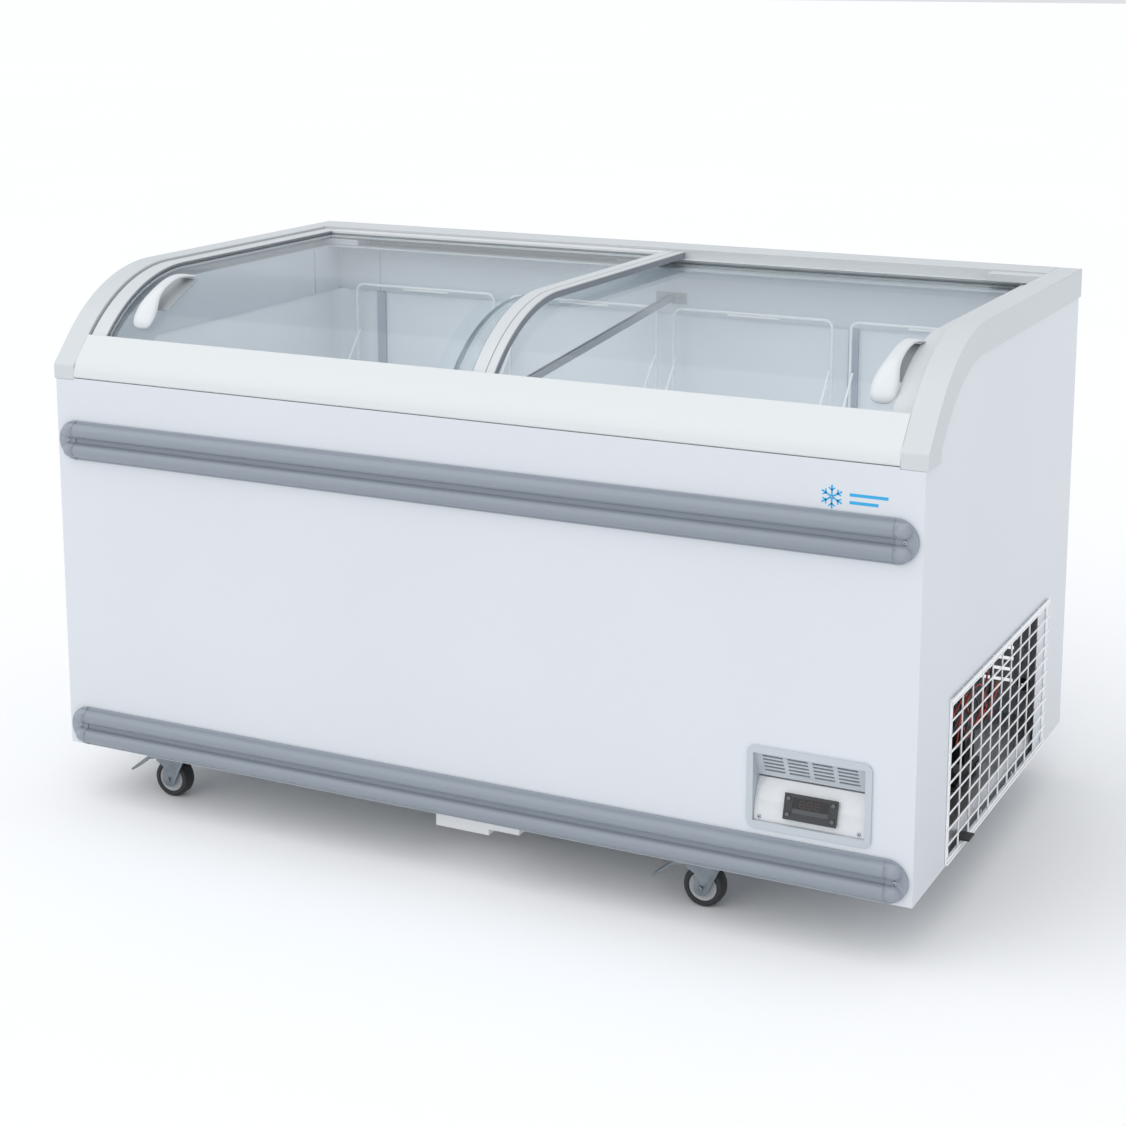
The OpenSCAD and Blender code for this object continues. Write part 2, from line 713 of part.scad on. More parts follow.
// Bezel, its collar behind the panel, and the slotted vent that leans in at the top of the recess
module control_bezel() color("lightsteelblue") {
    w = bezel_hole_w;
    h = bezel_hole_h;
    translate([bezel_x, front_y, base_z + bezel_z]) {
        difference() {
            union() {
                rotate([90, 0, 0]) linear_extrude(bezel_t)
                    translate([-bezel_w / 2, -bezel_h / 2]) rounded_rect(bezel_w, bezel_h, 12);
                box([-w / 2 - 1, -eps, -h / 2 - 1], [w / 2 + 1, recess_d, h / 2 + 1]);
            }
            box([-w / 2, -bezel_t - 1, -h / 2], [w / 2, recess_d + 1, h / 2]);
        }
    }
    difference() {
        along_x(bezel_x - w / 2 - 0.5, bezel_x + w / 2 + 0.5) translate([front_y, base_z]) polygon([
            vent_lo, vent_hi, [vent_hi[0], bezel_z + h / 2 + 0.5], [vent_hi[0] + 3, bezel_z + h / 2 + 0.5],
            vent_hi + [3, 1], vent_lo + [3, 0], [recess_d, vent_lo[1]], [recess_d, vent_lo[1] - 3],
            vent_lo + [0, -3]]);
        for (i = [0 : vent_cols - 1], j = [0 : vent_rows - 1]) translate([
            bezel_x - w / 2 + 11 + 38 * i, front_y + vent_lo[0], base_z + vent_lo[1]])
                rotate([90 - vent_a, 0, 0])
                    translate([0, -10, vent_l * (j + 0.7) / (vent_rows + 0.3)]) cube([31, 20, 3.5]);
    }
}

th_x = 590.5;
th_z = bezel_z - 24;
th_tilt = 15;
th_w = 81;
th_h = 38;
button_dx = 34;
button_dz = 11.5;
button_d = 6.5;

module at_thermostat() translate([th_x, front_y + 6.5, base_z + th_z]) rotate([-th_tilt, 0, 0]) children();

module control_fascia() color("white") difference() {
    along_x(bezel_x - bezel_hole_w / 2 + 0.3, bezel_x + bezel_hole_w / 2 - 0.3) {
        intersection() {
            difference() {
                translate([fascia_y, base_z + fascia_lo]) circle(r = fascia_r, $fn = 180);
                translate([fascia_y, base_z + fascia_lo]) circle(r = fascia_r - fascia_t, $fn = 180);
            }
            translate([front_y, base_z + fascia_lo + 0.3]) square([fascia_r / 2, fascia_hi - fascia_lo - 0.3]);
        }
        translate([front_y + 24, base_z + fascia_hi - fascia_t]) square([recess_d - 24, fascia_t]);
        translate([front_y + 3, base_z + fascia_lo + 0.3]) square([recess_d - 3, fascia_t]);
    }
    at_thermostat() box([-th_w / 2 + 1.5, -20, -th_h / 2 + 2], [th_w / 2 - 1.5, 60, th_h / 2 - 2]);
}

module button_holes() for (x = [-1, 1], z = [-1, 1])
    translate([x * button_dx, 7, z * button_dz]) rotate([90, 0, 0]) cylinder(d = button_d + 1, h = 20);

module thermostat() color("dimgray") at_thermostat() difference() {
    union() {
        box([-th_w / 2, -6, -th_h / 2], [th_w / 2, -2.5, th_h / 2]);
        box([-th_w / 2 + 2, -2.6, -th_h / 2 + 2.5], [th_w / 2 - 2, 50, th_h / 2 - 2.5]);
    }
    box([-27.5, -7, -9], [27.5, -5.4, 14]);
    button_holes();
}

module button(x, z) at_thermostat()
    translate([x * button_dx, 4, z * button_dz]) rotate([90, 0, 0]) cylinder(d = button_d, h = 11.4);

module button_power() color("silver") button(-1, 1);

module button_up() color("silver") button(1, 1);

module button_set() color("silver") button(-1, -1);

module button_down() color("silver") button(1, -1);

// ---- Side grille and machinery ---------------------------------------------------------------

grille_cols = 10;
grille_rows = 10;
grille_z = base_z + 4;
wire_in = skin_x + grille_wire / 2;
wire_out = wire_in + grille_wire + 0.02;

module side_grille() color("white") {
    y0 = front_y + grille_y;
    y1 = y0 + grille_l;
    z0 = grille_z;
    z1 = z0 + grille_h;
    edge = 8;
    d = grille_wire;
    for (i = [0 : grille_cols]) {
        y = y0 + edge + (grille_l - 2 * edge) * i / grille_cols;
        rod([wire_in, y, z0], [wire_in, y, z1], d);
    }
    for (y = [y0 + d / 2, y1 - d / 2]) rod([wire_in, y, z0], [wire_in, y, z1], d);
    for (i = [0 : grille_rows]) {
        z = z0 + edge + (grille_h - 2 * edge) * i / grille_rows;
        rod([wire_out, y0, z], [wire_out, y1, z], d);
    }
    rod([wire_out, y0, z0 + d / 2], [wire_out, y1, z0 + d / 2], d);
    box([wire_out - d / 2, y0, z1 - d * 1.6], [wire_out + d / 2, y1, z1]);
}

comp_x = machine_x + 150;
comp_y = front_y + 510;
comp_r = 72;
comp_z = base_z + pan_t + 14;

module compressor() color([0.08, 0.08, 0.09]) {
    dome_r = 110;
    wall_h = 104;
    drop = sqrt(dome_r * dome_r - comp_r * comp_r);
    translate([comp_x, comp_y, comp_z]) {
        intersection() {
            translate([0, 0, wall_h - drop]) sphere(r = dome_r);
            cylinder(r = comp_r, h = 2 * dome_r);
        }
        translate([0, 0, wall_h - 30]) cylinder(r = comp_r + 2.5, h = 6);
        // Discharge and suction stubs
        translate([-66, -55, 38]) cube([16, 14, 12 - eps]);
        rod([20, 56, 70], [20, 74 - eps, 70], 12);
        translate([comp_r - 6, -28, 20]) cube([34, 56, 52]);
        for (x = [-1, 1], y = [-1, 1]) translate([x * 84, y * 56, -14]) cylinder(d = 26, h = 14);
        translate([-100, -72, -3]) cube([200, 144, 4]);
    }
}

fin_n = 15;
fin_t = 1.2;
cond_w = 210;
cond_d = 66;
cond_h = 168;
cond_x = machine_x + 46;
cond_y = front_y + 262;
cond_z = base_z + pan_t + 8;

module condenser() color([0.15, 0.15, 0.16]) translate([cond_x, cond_y, cond_z]) {
    for (i = [0 : fin_n - 1])
        translate([(cond_w - fin_t) * i / (fin_n - 1), 0, 0]) cube([fin_t, cond_d, cond_h]);
    for (j = [0 : 4]) for (y = [cond_d / 4, cond_d * 3 / 4]) {
        z = cond_h * (j + 0.5) / 5;
        rod([-8, y, z], [cond_w + 8, y, z], 9.5);
    }
    for (side = [0, 1]) translate([side * cond_w - fin_t / 2, -2, -8]) cube([fin_t, cond_d + 4, 12]);
}

fan_y = cond_y + cond_d + 26;
fan_z = cond_z + cond_h / 2;
fan_x = cond_x + cond_w / 2;
fan_r = 76;
shaft_d = 8;

module fan_blade() color("white") translate([fan_x, fan_y, fan_z]) {
    difference() {
        rotate([90, 0, 0]) translate([0, 0, -8]) cylinder(r = 17, h = 18);
        rotate([90, 0, 0]) translate([0, 0, -9]) cylinder(d = shaft_d + 0.12, h = 14);
    }
    for (i = [0 : 4]) rotate([0, 72 * i, 0]) rotate([0, 0, 28]) translate([-13, -0.8, 14])
        cube([34, 1.6, fan_r - 15]);
}

module fan_motor() color("dimgray") {
    translate([fan_x, fan_y, fan_z]) rotate([-90, 0, 0]) {
        translate([0, 0, 12]) cylinder(r = 30, h = 42);
        translate([0, 0, -4]) cylinder(d = shaft_d, h = 20);
    }
    // Bracket from the base pan up to the motor, and the shroud round the blades
    box([fan_x - 22, fan_y + 30, base_z + pan_t], [fan_x + 22, fan_y + 33, fan_z]);
    box([fan_x - 22, fan_y + 22, base_z + pan_t], [fan_x + 22, fan_y + 50, base_z + pan_t + 3]);
    difference() {
        box([cond_x, cond_y + cond_d + 4, cond_z], [cond_x + cond_w, cond_y + cond_d + 6, cond_z + cond_h]);
        translate([fan_x, cond_y, fan_z]) rotate([-90, 0, 0]) cylinder(r = fan_r + 4, h = 3 * cond_d);
    }
    for (x = [cond_x + 0.5, cond_x + cond_w - 2.5])
        box([x, cond_y + cond_d - eps, cond_z + 20], [x + 2, cond_y + cond_d + 5, cond_z + 30]);
}

module refrigerant_pipes() color("peru") {
    top = comp_z + 90;
    back = front_y + 640;
    wall_x = machine_x + 30;
    up_x = cond_x - 22;
    // Discharge, from the compressor to the condenser
    rod_path([[comp_x - 60, comp_y - 50, top - 40], [comp_x - 60, comp_y - 50, top + 78],
              [comp_x - 60, cond_y + 50, top + 78], [up_x, cond_y + 50, top + 78],
              [up_x, cond_y + 50, cond_z + cond_h * 0.9], [cond_x - 8, cond_y + 50, cond_z + cond_h * 0.9]], 6.35);
    // Liquid line, filter drier and capillary, from the condenser to the wall of the compartment
    rod_path([[cond_x - 8, cond_y + 16, cond_z + cond_h * 0.1], [up_x, cond_y + 16, cond_z + cond_h * 0.1],
              [up_x, back, cond_z + cond_h * 0.1], [wall_x, back, cond_z + cond_h * 0.1],
              [wall_x, back, base_z + 131]], 5);
    translate([wall_x, back, base_z + 130]) cylinder(d = 19, h = 85);
    rod_path([[wall_x, back, base_z + 214], [wall_x, back, base_z + 250],
              [machine_x + pan_t, back, base_z + 250]], 3);
    // Suction, from the wall of the compartment to the compressor
    rod_path([[machine_x + pan_t, back + 30, base_z + 262], [comp_x + 20, back + 30, base_z + 262],
              [comp_x + 20, back + 30, top - 20], [comp_x + 20, comp_y + 74, top - 20]], 9.5);
}

wire_d = 3;
strap_w = 30;

module wiring_harness() color("firebrick") {
    for (i = [0 : 2]) {
        x = inner_x - 26 - 8 * i;
        z = base_z + 236 - 9 * i;
        y = comp_y - 20 + 8 * i;
        rod_path([[comp_x + comp_r + 28 + eps, y, comp_z + 50 - 9 * i], [x, y, comp_z + 50 - 9 * i], [x, y, z],
                  [x, front_y + 90 + 8 * i, z], [x, front_y + 90 + 8 * i, base_z + th_z - 5 - 6 * i],
                  [th_x + 12, front_y + 90 + 8 * i, base_z + th_z - 5 - 6 * i],
                  [th_x + 12, front_y + 57.9 - 1.6 * i, base_z + th_z - 5 - 6 * i]], wire_d);
    }
    // Box where the wires meet, on the compartment's floor, and the flat strap end at the grille
    box([inner_x - 110, front_y + 130, base_z + pan_t], [inner_x - 60, front_y + 190, base_z + 60]);
    box([inner_x - 8 + pan_t, front_y + grille_y + 67, base_z + 18],
        [half_w + 14, front_y + grille_y + 67 + strap_w, base_z + 22]);
}

gland_x = machine_x + 250;
gland_z = base_z + 60;
gland_d = 16;

module cable_gland() color([0.1, 0.1, 0.1]) translate([gland_x, rear_y - skin_t, gland_z]) rotate([-90, 0, 0])
    difference() {
        union() {
            translate([0, 0, -12]) cylinder(d = gland_d, h = 12 + skin_t);
            translate([0, 0, -4]) cylinder(d = gland_d + 6, h = 4);
        }
        translate([0, 0, -13]) cylinder(d = 8, h = 20);
    }

// ---- Cross bar and racks -----------------------------------------------------------------------

bar_x = 27;
bar_w = 10;
bar_h = 12;
bar_rear = [tub_rear - breaker_t - 2, tub_top + 19];
bar_front = [tub_front + breaker_t + 2, front_top + 5];

module cross_bar() color("lightgray") {
    difference() {
        along_x(bar_x - bar_w / 2, bar_x + bar_w / 2)
            polygon([bar_front, bar_rear, bar_rear + [0, bar_h], bar_front + [0, bar_h]]);
        along_x(bar_x - 2, bar_x + 2)
            polygon([bar_front + [-1, bar_h - 4], bar_rear + [1, bar_h - 4], bar_rear + [1, bar_h + 5],
                     bar_front + [-1, bar_h + 5]]);
    }
    box([bar_x - 30, bar_rear[0], bar_rear[1] - 5], [bar_x + 30, bar_rear[0] + 2, bar_rear[1] + 15]);
    box([bar_x - 18, bar_front[0] - 2, bar_front[1] - 8], [bar_x + 18, bar_front[0], bar_front[1] + 18]);
}

rack_mid = 22.5;
rack_y = tub_rear - 20;
rack_bend = 14;
rack_thin = 3.6;
brace_a = 50;
brace_drop = 90;
guard_drop = 250;

// One rack: a tall bent wire at the back, a brace down each side, a low guard and a wire floor. The wires
// lie over and beside each other and are spot-welded where they touch.
module rack(i, z0) {
    d = rack_wire;
    t = rack_thin;
    r = rack_bend;
    x0 = rack_mid + rack_pitch * (i - 1.5) - (rack_w - d) / 2;
    x1 = x0 + rack_w - d;
    zt = base_z + rack_top - d / 2;
    zb = z0 + d / 2 + 0.3;
    brace_z = zt - brace_drop;
    guard_z = zt - guard_drop;
    y0 = rack_y - (brace_z - zb) / tan(brace_a);
    beside = (d + t) / 2 + 2 * eps;
    inside = 1.5 * d + 2 * eps;
    // Back hoop
    for (x = [x0, x1]) rod([x, rack_y, zb - d / 2], [x, rack_y, zt - r], d);
    rod([x0 + r, rack_y, zt], [x1 - r, rack_y, zt], d);
    translate([x0 + r, rack_y, zt - r]) rotate([90, 0, 0]) rotate([0, 0, 90])
        rotate_extrude(angle = 90) translate([r, 0]) circle(d = d, $fn = 24);
    translate([x1 - r, rack_y, zt - r]) rotate([90, 0, 0])
        rotate_extrude(angle = 90) translate([r, 0]) circle(d = d, $fn = 24);
    // Sides of the floor, and the braces from them up to the hoop
    for (s = [-1, 1]) {
        x = (s < 0 ? x0 : x1) - s * (d + 2 * eps);
        bx = (s < 0 ? x0 : x1) - s * beside;
        rod([x, y0, zb], [x, rack_y + d / 2, zb], d);
        rod([bx, y0 + 6, zb + d / 2 + t / 2 + 0.2], [bx, rack_y + 1, brace_z], t);
    }
    rod([x0, y0 - d / 2 - eps, zb], [x1, y0 - d / 2 - eps, zb], d);
    rod([x0 + inside, rack_y, zb], [x1 - inside, rack_y, zb], d);
    // Joggle wire under the top wire
    rod([x0 + 0.34 * rack_w, rack_y, zt - beside], [x0 + 0.66 * rack_w, rack_y, zt - beside], t);
    // Low guard and floor
    for (k = [0 : 5]) {
        x = x0 + rack_w * (k + 0.5) / 6.1;
        rod([x, rack_y + beside, zb - d / 2], [x, rack_y + beside, guard_z], t);
        rod([x, y0 - d, zb + beside], [x, rack_y + beside - t / 2 - eps, zb + beside], t);
    }
    for (k = [1 : 3]) {
        z = zb + (guard_z - zb) * k / 3 - 4;
        y = rack_y + beside - t - 2 * eps;
        rod([x0 + d / 2 + eps, y, z], [x1 - d / 2 - eps, y, z], t);
    }
    for (k = [1 : 2]) {
        y = y0 + (rack_y - y0) * k / 3;
        z = zb + beside - t - 2 * eps;
        rod([x0 + inside, y, z], [x1 - inside, y, z], t);
    }
}

module wire_rack_1() color("white") rack(0, tub_floor);

module wire_rack_2() color("white") rack(1, tub_floor);

module wire_rack_3() color("white") rack(2, tub_floor);

module wire_rack_4() color("white") rack(3, step_z);

// ---- Casters -----------------------------------------------------------------------------------

plate_w = 76;
plate_l = 64;
plate_t = 3;
race_d = 38;
race_h = 5;
head_t = 3.5;
pin_d = 10;
leg_t = 2.5;
leg_gap = 2;
axle_d = 8;
run_fit = 0.05;
part_gap = 0.5;
race_z = base_z - plate_t - race_h;
head_z = race_z - part_gap - head_t;
pivot_x = -caster_trail - 20;
pivot_z = head_z - 16;
pivot_d = 6;

module at_caster(side, end) translate([side < 0 ? -caster_left_x : caster_right_x,
    end < 0 ? front_y + caster_y : rear_y - caster_y, 0]) children();

// Top plate, race and king pin of each caster, fixed under the base
module caster_plates() color("silver") for (side = [-1, 1], end = [-1, 1]) at_caster(side, end) {
    translate([-plate_w / 2, -plate_l / 2, base_z - plate_t]) cube([plate_w, plate_l, plate_t]);
    translate([0, 0, race_z]) cylinder(d = race_d, h = race_h + eps);
    translate([0, 0, head_z - part_gap]) cylinder(d = pin_d, h = base_z - head_z);
    translate([0, 0, head_z - part_gap - 3]) cylinder(d = pin_d + 6, h = 3);
    for (x = [-1, 1], y = [-1, 1]) translate([x * 28, y * 23, base_z - plate_t - 4])
        cylinder(d = 9, h = 4 + eps);
}

module fork(pedal) {
    w = wheel_w / 2 + leg_gap;
    difference() {
        union() {
            translate([0, 0, head_z]) cylinder(d = race_d + 6, h = head_t);
            box([-caster_trail - 8, -w - leg_t, head_z], [14, w + leg_t, head_z + head_t]);
        }
        translate([0, 0, head_z - 1]) cylinder(d = pin_d + 2 * run_fit, h = head_t + 2);
    }
    for (s = [-1, 1]) translate([0, s * (w + leg_t / 2) + leg_t / 2, 0]) rotate([90, 0, 0])
        linear_extrude(leg_t) {
            polygon([[14, head_z + head_t], [-caster_trail - 8, head_z + head_t],
                     [-caster_trail - 13, wheel_r], [-caster_trail + 13, wheel_r]]);
            translate([-caster_trail, wheel_r]) circle(r = 13);
            if (pedal) polygon([[-caster_trail - 6, head_z + head_t], [pivot_x + 4, pivot_z + 7],
                                [pivot_x - 7, pivot_z + 4], [pivot_x - 5, pivot_z - 6], [-caster_trail - 8, wheel_r + 20]]);
        }
    translate([-caster_trail, w + leg_t + 4, wheel_r]) rotate([90, 0, 0])
        cylinder(d = axle_d, h = 2 * (w + leg_t + 4));
    if (pedal) translate([pivot_x, w + leg_t, pivot_z]) rotate([90, 0, 0])
        cylinder(d = pivot_d, h = 2 * (w + leg_t));
}

module caster_fork_front_left() color("lightsteelblue") at_caster(-1, -1) fork(true);

module caster_fork_front_right() color("lightsteelblue") at_caster(1, -1) fork(true);

module caster_fork_rear_left() color("lightsteelblue") at_caster(-1, 1) fork(false);

module caster_fork_rear_right() color("lightsteelblue") at_caster(1, 1) fork(false);

// Wheel: tread with rounded shoulders, and a hub that is dished on both faces
module wheel() translate([-caster_trail, 0, wheel_r]) rotate([90, 0, 0]) difference() {
    union() {
        translate([0, 0, -wheel_w / 2 + 4]) cylinder(r = wheel_r, h = wheel_w - 8);
        for (s = [-1, 1]) translate([0, 0, s * (wheel_w / 2 - 4)]) {
            rotate_extrude() translate([wheel_r - 4, 0]) circle(r = 4, $fn = 32);
            translate([0, 0, -4]) cylinder(r = wheel_r - 4, h = 8);
        }
    }
    for (s = [-1, 1]) translate([0, 0, s * (wheel_w / 2 - 1.5) - 1.6]) difference() {
        cylinder(r = 21, h = 3.2);
        cylinder(r = 9, h = 4);
    }
    translate([0, 0, -wheel_w]) cylinder(d = axle_d + 2 * run_fit, h = 2 * wheel_w);
}

module caster_wheel_front_left() color([0.12, 0.12, 0.12]) at_caster(-1, -1) wheel();

module caster_wheel_front_right() color([0.12, 0.12, 0.12]) at_caster(1, -1) wheel();

module caster_wheel_rear_left() color([0.12, 0.12, 0.12]) at_caster(-1, 1) wheel();

module caster_wheel_rear_right() color([0.12, 0.12, 0.12]) at_caster(1, 1) wheel();

pedal_w = 24;

module pedal() translate([pivot_x, pedal_w / 2, pivot_z]) rotate([90, 0, 0]) linear_extrude(pedal_w) {
    difference() {
        union() {
            circle(d = pivot_d + 5);
            polygon([[-0.5, 5.4], [-29, -4], [-63, -31], [-65, -34], [-62, -35], [-28, -9], [-3, -3.5]]);
        }
        circle(d = pivot_d + 2 * run_fit);
    }
}

module brake_pedal_left() color("silver") at_caster(-1, -1) pedal();

module brake_pedal_right() color("silver") at_caster(1, -1) pedal();

// ---- Screws --------------------------------------------------------------------------------------

module screw_y(x, y, z, d = 9) translate([x, y, z]) rotate([90, 0, 0]) cylinder(d = d, h = 2);

module screws() color("silver") {
    for (side = [-1, 1], z = [bumper_low_z, bumper_high_z])
        screw_y(side * (rail_half + 14), front_y - bumper_base_t - 1, base_z + z, 7.6);
    for (side = [-1, 1])
        screw_y(bezel_x + side * (bezel_hole_w / 2 - 9), front_y + 2, base_z + fascia_lo + 6, 6);
    for (side = [-1, 1]) screw_y(bar_x + side * 20, bar_rear[0], bar_rear[1] + 5, 8);
    for (y = [0.02, 0.34, 0.66, 0.98], z = [grille_z + 14, grille_z + grille_h - 14])
        translate([skin_x, front_y + grille_y + 4 + (grille_l - 8) * y, z]) rotate([0, 90, 0])
            cylinder(d = 7, h = 1.2);
}

front_panel();
left_side_panel();
right_side_panel();
rear_panel();
base_pan();
foam_insulation();
inner_liner();
evaporator_coil();
breaker_panels();
front_trim();
rear_track();
left_end_trim();
right_end_trim();
upper_bumper();
lower_bumper();
bumper_end_caps();
screws();
control_bezel();
control_fascia();
thermostat();
side_grille();
compressor();
condenser();
fan_motor();
refrigerant_pipes();
wiring_harness();
cable_gland();
cross_bar();
drain_pipe();
caster_plates();
conduit_covers();
left_lid_glass();
left_lid_handle();
left_lid_side_profiles();
left_lid_rails();
right_lid_glass();
right_lid_handle();
right_lid_side_profiles();
right_lid_rails();
caster_fork_front_left();
caster_fork_front_right();
caster_fork_rear_left();
caster_fork_rear_right();
caster_wheel_front_left();
caster_wheel_front_right();
caster_wheel_rear_left();
caster_wheel_rear_right();
brake_pedal_left();
brake_pedal_right();
fan_blade();
button_power();
button_up();
button_set();
button_down();
drain_tray();
drain_plug();
wire_rack_1();
wire_rack_2();
wire_rack_3();
wire_rack_4();
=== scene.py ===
import json
import math
import random
import bmesh
import bpy
from mathutils import Matrix, Vector

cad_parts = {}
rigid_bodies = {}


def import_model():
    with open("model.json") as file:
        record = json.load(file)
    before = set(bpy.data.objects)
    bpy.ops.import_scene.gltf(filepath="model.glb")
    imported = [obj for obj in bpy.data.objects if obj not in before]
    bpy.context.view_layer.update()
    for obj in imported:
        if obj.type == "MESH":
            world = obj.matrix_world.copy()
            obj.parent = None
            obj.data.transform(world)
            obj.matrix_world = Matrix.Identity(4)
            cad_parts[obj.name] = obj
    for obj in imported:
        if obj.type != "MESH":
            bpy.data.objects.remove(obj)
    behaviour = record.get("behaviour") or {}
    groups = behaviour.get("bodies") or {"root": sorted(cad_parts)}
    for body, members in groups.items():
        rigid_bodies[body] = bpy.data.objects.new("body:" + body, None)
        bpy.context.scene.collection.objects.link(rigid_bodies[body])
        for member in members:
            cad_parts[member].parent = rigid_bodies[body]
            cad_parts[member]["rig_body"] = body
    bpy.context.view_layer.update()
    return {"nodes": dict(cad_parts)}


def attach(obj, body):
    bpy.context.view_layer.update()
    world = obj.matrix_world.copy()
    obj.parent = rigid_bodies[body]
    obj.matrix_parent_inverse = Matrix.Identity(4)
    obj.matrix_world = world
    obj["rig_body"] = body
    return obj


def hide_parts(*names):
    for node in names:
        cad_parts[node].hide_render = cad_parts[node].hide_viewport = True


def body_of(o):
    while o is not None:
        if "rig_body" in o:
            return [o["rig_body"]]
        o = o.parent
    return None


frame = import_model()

nodes = frame["nodes"]
scene = bpy.context.scene


# Camera: stands at the right front corner, half a metre above the lids, and looks a little down.
# Its shift keeps the freezer's upright edges upright in the picture.
camera_data = bpy.data.cameras.new("camera")
camera_data.sensor_width = 36.0
camera_data.lens = 69.43
camera_data.shift_y = -0.17
camera = bpy.data.objects.new("camera", camera_data)
camera.location = (1.5861, -3.2075, 1.4235)
camera.rotation_euler = (math.radians(90) - 0.19052, 0, 0.46265)
scene.collection.objects.link(camera)
scene.camera = camera


# Studio: a pale seamless paper floor under an even white sky, with one very broad key lamp
# from the front left and a weak fill lamp from the right.
scene.view_settings.view_transform = "Standard"


def new_object(name, mesh):
    made = bpy.data.objects.new(name, mesh)
    scene.collection.objects.link(made)
    return made


def new_mesh(name, points, faces):
    mesh = bpy.data.meshes.new(name)
    mesh.from_pydata([tuple(p) for p in points], [], faces)
    mesh.update()
    return new_object(name, mesh)


def add_node(tree, kind, **values):
    made = tree.nodes.new(kind)
    for key, value in values.items():
        if hasattr(made, key):
            setattr(made, key, value)
        else:
            made.inputs[key.replace("_", " ")].default_value = value
    return made


def finish(name, colour, rough, metal=0.0, tone=0.04, tone_scale=5.0, grain=0.15, grain_scale=700.0,
           depth=0.0001, stretch=(1, 1, 1), clearcoat=0.0, rough_swing=0.08, dust=0.0, pattern="noise"):
    """A surface with broad colour drift, fine grain in its roughness and bump, and dust low down."""
    made = bpy.data.materials.new(name)
    made.use_nodes = True
    tree = made.node_tree
    shader = tree.nodes["Principled BSDF"]
    shader.inputs["Metallic"].default_value = metal
    shader.inputs["Coat Weight"].default_value = clearcoat
    shader.inputs["Coat Roughness"].default_value = 0.08
    where = add_node(tree, "ShaderNodeTexCoord")
    scaled = add_node(tree, "ShaderNodeMapping")
    scaled.inputs["Scale"].default_value = stretch
    tree.links.new(where.outputs["Object"], scaled.inputs["Vector"])
    drift = add_node(tree, "ShaderNodeTexNoise", Scale=tone_scale, Detail=4.0)
    tree.links.new(scaled.outputs["Vector"], drift.inputs["Vector"])
    if pattern == "flakes":
        fine = add_node(tree, "ShaderNodeTexVoronoi", Scale=grain_scale)
        fine_out = fine.outputs["Distance"]
    else:
        fine = add_node(tree, "ShaderNodeTexNoise", Scale=grain_scale, Detail=3.0)
        fine_out = fine.outputs["Fac"]
    tree.links.new(scaled.outputs["Vector"], fine.inputs["Vector"])
    shade = add_node(tree, "ShaderNodeMapRange")
    shade.inputs["From Min"].default_value = 0.3
    shade.inputs["From Max"].default_value = 0.7
    shade.inputs["To Min"].default_value = 1.0 - tone
    shade.inputs["To Max"].default_value = 1.0 + tone * 0.4
    tree.links.new(drift.outputs["Fac"], shade.inputs["Value"])
    tint = add_node(tree, "ShaderNodeVectorMath", operation="SCALE")
    tint.inputs[0].default_value = colour[:3]
    tree.links.new(shade.outputs["Result"], tint.inputs["Scale"])
    colour_out = tint.outputs["Vector"]
    if dust:
        split = add_node(tree, "ShaderNodeSeparateXYZ")
        tree.links.new(where.outputs["Object"], split.inputs["Vector"])
        low = add_node(tree, "ShaderNodeMapRange")
        low.inputs["From Min"].default_value = 0.32
        low.inputs["From Max"].default_value = 0.08
        low.inputs["To Max"].default_value = dust
        tree.links.new(split.outputs["Z"], low.inputs["Value"])
        patchy = add_node(tree, "ShaderNodeMath", operation="MULTIPLY")
        tree.links.new(low.outputs["Result"], patchy.inputs[0])
        tree.links.new(drift.outputs["Fac"], patchy.inputs[1])
        settle = add_node(tree, "ShaderNodeMix", data_type="RGBA")
        clean, dusty = [socket for socket in settle.inputs if socket.type == "RGBA"]
        dusty.default_value = (0.42, 0.41, 0.38, 1)
        tree.links.new(patchy.outputs["Value"], settle.inputs["Factor"])
        tree.links.new(colour_out, clean)
        colour_out = [socket for socket in settle.outputs if socket.type == "RGBA"][0]
    tree.links.new(colour_out, shader.inputs["Base Color"])
    spread = add_node(tree, "ShaderNodeMapRange")
    spread.inputs["To Min"].default_value = max(0.02, rough - rough_swing)
    spread.inputs["To Max"].default_value = min(1.0, rough + rough_swing)
    tree.links.new(fine_out, spread.inputs["Value"])
    tree.links.new(spread.outputs["Result"], shader.inputs["Roughness"])
    if grain:
        bump = add_node(tree, "ShaderNodeBump")
        bump.inputs["Strength"].default_value = grain
        bump.inputs["Distance"].default_value = depth
        tree.links.new(fine_out, bump.inputs["Height"])
        tree.links.new(bump.outputs["Normal"], shader.inputs["Normal"])
    return made


def dress(made, material):
    made.data.materials.clear()
    made.data.materials.append(material)


reach = 60
floor_corners = [(-reach, -reach, 0), (reach, -reach, 0), (reach, reach, 0), (-reach, reach, 0)]
floor = new_mesh("studio_floor", floor_corners, [(0, 1, 2, 3)])
dress(floor, finish("studio_paper", (0.93, 0.935, 0.945), 0.75, tone=0.01, tone_scale=0.4, grain=0.02))
world = bpy.data.worlds.new("studio_sky")
scene.world = world
world.use_nodes = True
sky = world.node_tree.nodes["Background"]
sky.inputs["Color"].default_value = (0.95, 0.97, 1.0, 1)
sky.inputs["Strength"].default_value = 0.78


def broad_lamp(name, towards, strength, spread, colour):
    lamp = bpy.data.lights.new(name, "SUN")
    lamp.energy = strength
    lamp.angle = math.radians(spread)
    lamp.color = colour
    made = new_object(name, lamp)
    made.rotation_euler = Vector(towards).to_track_quat("-Z", "Y").to_euler()


broad_lamp("key_lamp", (0.34, 0.60, -0.86), 1.25, 80, (1.0, 0.99, 0.97))
broad_lamp("fill_lamp", (-0.75, 0.2, -0.45), 0.22, 90, (0.95, 0.97, 1.0))


